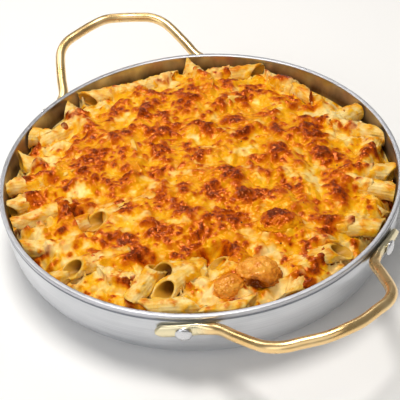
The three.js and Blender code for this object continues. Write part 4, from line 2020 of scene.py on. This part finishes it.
    def edge(self, height: np.ndarray) -> np.ndarray:
        """Brings the crust down where it ends short of the wall, least at the near side.

        Args:
            height: the crust's height.

        Returns:
            Its new height.
        """
        maps = self.bed.maps
        near = smoothstep(70, 115, -maps.away)
        start = self.fall_from + 8 * near + 3.5 * maps.noise(15, 81, 2)
        drop = np.clip((maps.reach - start) / self.fall_width, 0, 1.2) ** 1.5
        limit = self.pan.height - self.lip + 0.6 * np.maximum(0, 119 - maps.reach)
        return np.minimum(height - (self.fall[0] - self.fall[1] * near) * drop, limit)

    def build(self) -> bpy.types.Object:
        """Makes the top from a fine grid, with sides and a bottom that follow the pan.

        Returns:
            The crust.
        """
        maps = self.bed.maps
        bm = bmesh.new()
        cells = maps.count - 1
        bmesh.ops.create_grid(bm, x_segments=cells, y_segments=cells, size=maps.half)
        outside = [v for v in bm.verts if math.hypot(v.co.x, v.co.y) > self.edge_radius + maps.step * 0.4]
        bmesh.ops.delete(bm, geom=outside, context="VERTS")
        loose = [v for v in bm.verts if not v.link_faces]
        bmesh.ops.delete(bm, geom=loose, context="VERTS")
        toast = bm.verts.layers.float.new("toast")
        cream = bm.verts.layers.float.new("cream")
        rim = {v for v in bm.verts if v.is_boundary}
        for vert in bm.verts:
            x, y = vert.co.x, vert.co.y
            vert.co.z = maps.sample(self.height, x, y)
            vert[toast] = maps.sample(self.toast, x, y)
            vert[cream] = maps.sample(self.cream, x, y)
        for vert in rim:
            reach = math.hypot(vert.co.x, vert.co.y)
            vert.co.x *= self.edge_radius / reach
            vert.co.y *= self.edge_radius / reach
        self.add_body(bm)
        cheese = ToastedCheese().make()
        return finish_piece(bm, "cheese_crust", [cheese], ("baked_penne",))

    def add_body(self, bm: bmesh.types.BMesh) -> None:
        """Extrudes the crust's edge down the inside of the pan and closes it under.

        Args:
            bm: the crust.
        """
        edges = [e for e in bm.edges if e.is_boundary]
        corner = self.pan.corner_radius
        inside = corner - self.pan.wall - self.floor_gap
        round_down = arc(self.pan.corner, inside, -self.pan.lean, -math.pi / 2, 4)
        for reach, z in [(self.edge_radius, self.wall_foot), *round_down]:
            verts, edges = extruded(bm, edges)
            for vert in verts:
                now = math.hypot(vert.co.x, vert.co.y)
                wanted = min(reach, self.pan.inner_radius(z) - self.floor_gap) if z > corner else reach
                vert.co = (vert.co.x * wanted / now, vert.co.y * wanted / now, z)
        bmesh.ops.contextual_create(bm, geom=edges)


# ---- Mushroom pieces ----------------------------------------------------------------------------


@dataclass
class Lump:
    """A rounded roasted piece that stands out of the cheese: half sizes, place and turn as in the frame."""

    name: str
    node: str
    size: tuple[float, float, float]
    at: tuple[float, float, float]
    turn: float
    lobes: int
    top_dark: float
    base_dark: float
    collar: float
    seed: int
    hollow: tuple[float, float, float, float] = (0.0, -1.0, 0.0, 0.0)  # the way to a dent and its depth
    hollow_size: float = 0.5
    lobe_depth: float = 0.09
    dent_depth: float = 0.07
    skin_depths: tuple[float, float, float] = (0.14, 0.05, 0.12)  # of its broad and fine unevenness and warts
    tone_line: float = 0.1  # how high on it, from -1 to 1, its tone turns from the base's to the top's

    def form(self, p: Vector) -> tuple[Vector, float]:
        """Where a point of the unit sphere goes, and how dark it is.

        Args:
            p: the point.

        Returns:
            Its place before the piece is turned, and its tone from 0 to 1.
        """
        shift = Vector((self.seed * 7.3, self.seed * 3.1, 0))
        way_round = math.sin(self.lobes * math.atan2(p.y, p.x) + self.at[0])
        lobe = 1 + self.lobe_depth * way_round * (1 - p.z * p.z)
        dent = 1 - self.dent_depth * math.cos(3 * p.x + 2 * p.z + self.turn)
        broad = noise.noise(p * 1.7 + shift) * self.skin_depths[0]
        fine = noise.fractal(p * 3.4 + shift, 0.9, 2.1, 4) * self.skin_depths[1]
        warts = max(0.0, noise.noise(p * 6.5 + shift)) * self.skin_depths[2]
        way = Vector(self.hollow[:3]).normalized()
        pressed = math.exp(-((((p - way).length) / self.hollow_size) ** 2))
        grown = lobe * dent + broad + fine + warts - self.hollow[3] * pressed
        long, wide, high = self.size
        place = Vector((p.x * long * grown, p.y * wide * grown, p.z * high * (1 + fine * 2)))
        # tone from base to top: the cap's dark base is partly its gills and partly painted shade under its
        # overhang
        up = float(smoothstep(self.tone_line - 0.5, self.tone_line + 0.5, p.z + 0.3 * p.y))
        tone = self.base_dark + (self.top_dark - self.base_dark) * up + 0.35 * noise.noise(p * 2.6 + shift)
        # painted shade: the dent is coloured darker
        return place, tone + 0.6 * pressed * (self.hollow[3] > 0)

    def build(self, skin: bpy.types.Material) -> bpy.types.Object:
        """Shapes a fine sphere into the piece, with lobes, dents and a warty skin.

        Args:
            skin: its material.

        Returns:
            The piece.
        """
        bm = bmesh.new()
        bmesh.ops.create_icosphere(bm, subdivisions=6, radius=1.0)
        toast = bm.verts.layers.float.new("toast")
        for vert in bm.verts:
            vert.co, vert[toast] = self.form(vert.co.copy())
        place = Matrix.Translation(self.at) @ Matrix.Rotation(self.turn, 4, "Z")
        bmesh.ops.transform(bm, matrix=place, verts=bm.verts)
        return finish_piece(bm, self.name, [skin], (self.node,))


LUMPS = (
    Lump(
        name="mushroom_cap_piece",
        node="mushroom_cap",
        size=(12.2, 11.2, 8.6),
        at=(102.4, -14.2, 44.2),
        turn=1.15,
        lobes=2,
        top_dark=0.22,
        # dark underneath: its gills, and painted shade under the overhang
        base_dark=0.75,
        collar=1.4,
        seed=1,
        hollow=(-0.15, -0.95, 0.0, 0.3),
    ),
    Lump(
        name="mushroom_stem_piece",
        node="mushroom_stem",
        size=(10.5, 7.8, 6.6),
        at=(102.1, -33.7, 42.8),
        turn=1.85,
        lobes=1,
        top_dark=0.2,
        base_dark=0.1,
        collar=2.4,
        seed=2,
        hollow=(0.35, 0.4, 0.8, 0.22),
    ),
    Lump(
        name="browned_lump_piece",
        node="browned_lump",
        size=(12.8, 10.0, 6.2),
        at=(72.0, 17.0, 45.9),
        turn=1.15,
        lobes=3,
        top_dark=0.95,
        base_dark=0.35,
        collar=1.6,
        seed=3,
        tone_line=0.45,
    ),
)


# ---- Pepper -------------------------------------------------------------------------------------


@dataclass
class Specks:
    """Coarse pepper and burnt crumbs on the top."""

    count: int = 36
    seed: int = 9
    spread_radius: float = 116.0
    radii: tuple[float, float] = (0.25, 0.6)

    def build(self, crust: Crust) -> bpy.types.Object:
        """Scatters small flattened grains on the crust.

        Args:
            crust: the cheese that they lie on.

        Returns:
            The specks.
        """
        draw = random.Random(self.seed)
        bm = bmesh.new()
        maps = crust.bed.maps
        for _ in range(self.count):
            reach = self.spread_radius * math.sqrt(draw.random())
            angle = draw.uniform(0, 2 * math.pi)
            x, y = reach * math.cos(angle), reach * math.sin(angle)
            size = draw.uniform(*self.radii)
            z = maps.sample(crust.height, x, y)
            turn = Matrix.Rotation(draw.uniform(0, math.pi), 4, "Z") @ Matrix.Diagonal((1.4, 1.0, 0.7, 1.0))
            grain = bmesh.ops.create_icosphere(bm, subdivisions=1, radius=size)["verts"]
            bmesh.ops.transform(bm, matrix=Matrix.Translation((x, y, z)) @ turn, verts=grain)
        burnt = PlainMatte("burnt_crumb", "#4a200c", "#2a1206", 1.5, 0.8).make()
        return finish_piece(bm, "pepper_specks", [burnt])


# ---- Studio -------------------------------------------------------------------------------------


@dataclass
class Studio:
    """The pale floor, the soft lights and the camera, in metres."""

    focal: float = 108.1  # mm, on a 36 mm sensor
    eye: tuple[float, float, float] = (0.54279, -0.24280, 0.54260)
    aim: tuple[float, float, float] = (0.02726, -0.01369, 0.044)
    roll: float = math.radians(4.64)
    horizon: float = 0.24  # strength of the sky there
    zenith: float = 0.22
    lit_height: float = 0.03  # m over the floor, which the lights face
    floor_half: float = 6.0  # m

    def camera(self) -> None:
        """Puts the camera at the viewing angle."""
        data = bpy.data.cameras.new("camera")
        data.lens = self.focal
        data.sensor_width = 36.0
        data.clip_start = 0.01
        ahead = (Vector(self.aim) - Vector(self.eye)).normalized()
        level = ahead.cross(Vector((0, 0, 1))).normalized()
        over = level.cross(ahead)
        up = over * math.cos(self.roll) + level * math.sin(self.roll)
        right = ahead.cross(up)
        turn = Matrix((right, up, -ahead)).transposed().to_4x4()
        camera = bpy.data.objects.new("camera", data)
        camera.matrix_world = Matrix.Translation(self.eye) @ turn
        bpy.context.scene.collection.objects.link(camera)
        bpy.context.scene.camera = camera

    def lamp(
        self, name: str, across: float, away: float, up: float, size: float, power: float, tint: str
    ) -> None:
        """Hangs a square soft light that faces the dish.

        Args:
            name: the light's name.
            across: its place to the right, in the food's own axes.
            away: its place behind the dish.
            up: its height.
            size: its side.
            power: in watts.
            tint: its colour.
        """
        data = bpy.data.lights.new(name, "AREA")
        data.size = size
        data.energy = power
        data.color = linear(tint)[:3]
        x, y = on_dish(across, away)
        light = bpy.data.objects.new(name, data)
        place = Vector((x, y, up))
        down = Vector((0, 0, self.lit_height)) - place
        light.matrix_world = Matrix.Translation(place) @ down.to_track_quat("-Z", "Y").to_matrix().to_4x4()
        bpy.context.scene.collection.objects.link(light)

    def floor(self) -> None:
        """Lays a wide pale floor."""
        bm = bmesh.new()
        bmesh.ops.create_grid(bm, x_segments=2, y_segments=2, size=self.floor_half)
        mesh = bpy.data.meshes.new("floor")
        bm.to_mesh(mesh)
        bm.free()
        mesh.materials.append(PlainMatte("pale_floor", "#fafafa", "#f7f7f7", 300.0).make())
        floor = bpy.data.objects.new("floor", mesh)
        bpy.context.scene.collection.objects.link(floor)

    def sky(self) -> None:
        """Surrounds the scene with a pale light that is weaker towards the horizon."""
        world = bpy.data.worlds.new("studio")
        world.use_nodes = True
        tree = world.node_tree
        tree.nodes.clear()
        out = tree.nodes.new("ShaderNodeOutputWorld")
        way = add_node(tree, "ShaderNodeTexCoord").outputs["Generated"]
        axes = add_node(tree, "ShaderNodeSeparateXYZ", {}, {0: way})
        shade = add_node(
            tree,
            "ShaderNodeMapRange",
            {"From Min": 0.05, "From Max": 0.75, "To Min": self.horizon, "To Max": self.zenith},
            {"Value": axes.outputs[2]},
        )
        light = add_node(tree, "ShaderNodeBackground", {"Color": linear("#f9f6f1")}, {"Strength": shade})
        tree.links.new(light.outputs[0], out.inputs[0])
        bpy.context.scene.world = world

    def build(self) -> None:
        """Sets up the whole studio."""
        self.floor()
        self.sky()
        self.lamp("soft_overhead", -0.1, 0.12, 1.0, 0.36, 7.0, "#fffbf5")
        self.lamp("key_behind_left", -0.75, 0.65, 0.8, 0.4, 2.5, "#fffcf8")
        self.lamp("card_in_front", 0.1, -1.15, 0.95, 1.1, 3.0, "#fffdfa")
        self.lamp("gloss_behind", 0.2, 1.1, 0.95, 0.3, 1.0, "#fffdfa")
        self.lamp("fill_near_left", -0.8, -0.95, 0.55, 0.9, 3.6, "#fbfcff")
        self.camera()
        bpy.context.scene.view_settings.view_transform = "Standard"


# ---- Everything ---------------------------------------------------------------------------------


def main() -> None:
    """Builds the pan, its handles and the food, then the studio."""
    logging.basicConfig(level=logging.INFO, format="%(name)s: %(message)s")
    pan = Pan()
    pan.build()
    brass = PolishedBrass().make()
    steel = PolishedRim("bright_rivet_steel", "#d6d7da", 0.24).make()
    for label, side in HANDLE_SIDES:
        rod = LoopHandle(f"handle_rod_{label}", f"handle_{label}", side, pan)
        rod.build(brass)
        for hand, sign in (("left", -1), ("right", 1)):
            angle = side + sign * rod.rivet_angle
            Rivet(f"rivet_head_{label}_{hand}", f"rivet_{label}_{hand}", angle, rod).build(steel)
    maps = TopMaps()
    bed = PastaBed(maps, pan)
    bed.fill(list(LUMPS))
    crust = Crust(bed, pan)
    crust.shape(list(LUMPS))
    crust.build()
    Penne(bed).build(crust)
    pale_skin = RoastedMushroom().make()
    toasted_skin = ToastedCheese("toasted_cheese_skin").make()
    for lump in LUMPS:
        lump.build(toasted_skin if lump.node == "browned_lump" else pale_skin)
    Specks().build(crust)
    Studio().build()


if __name__ == "__main__":
    main()
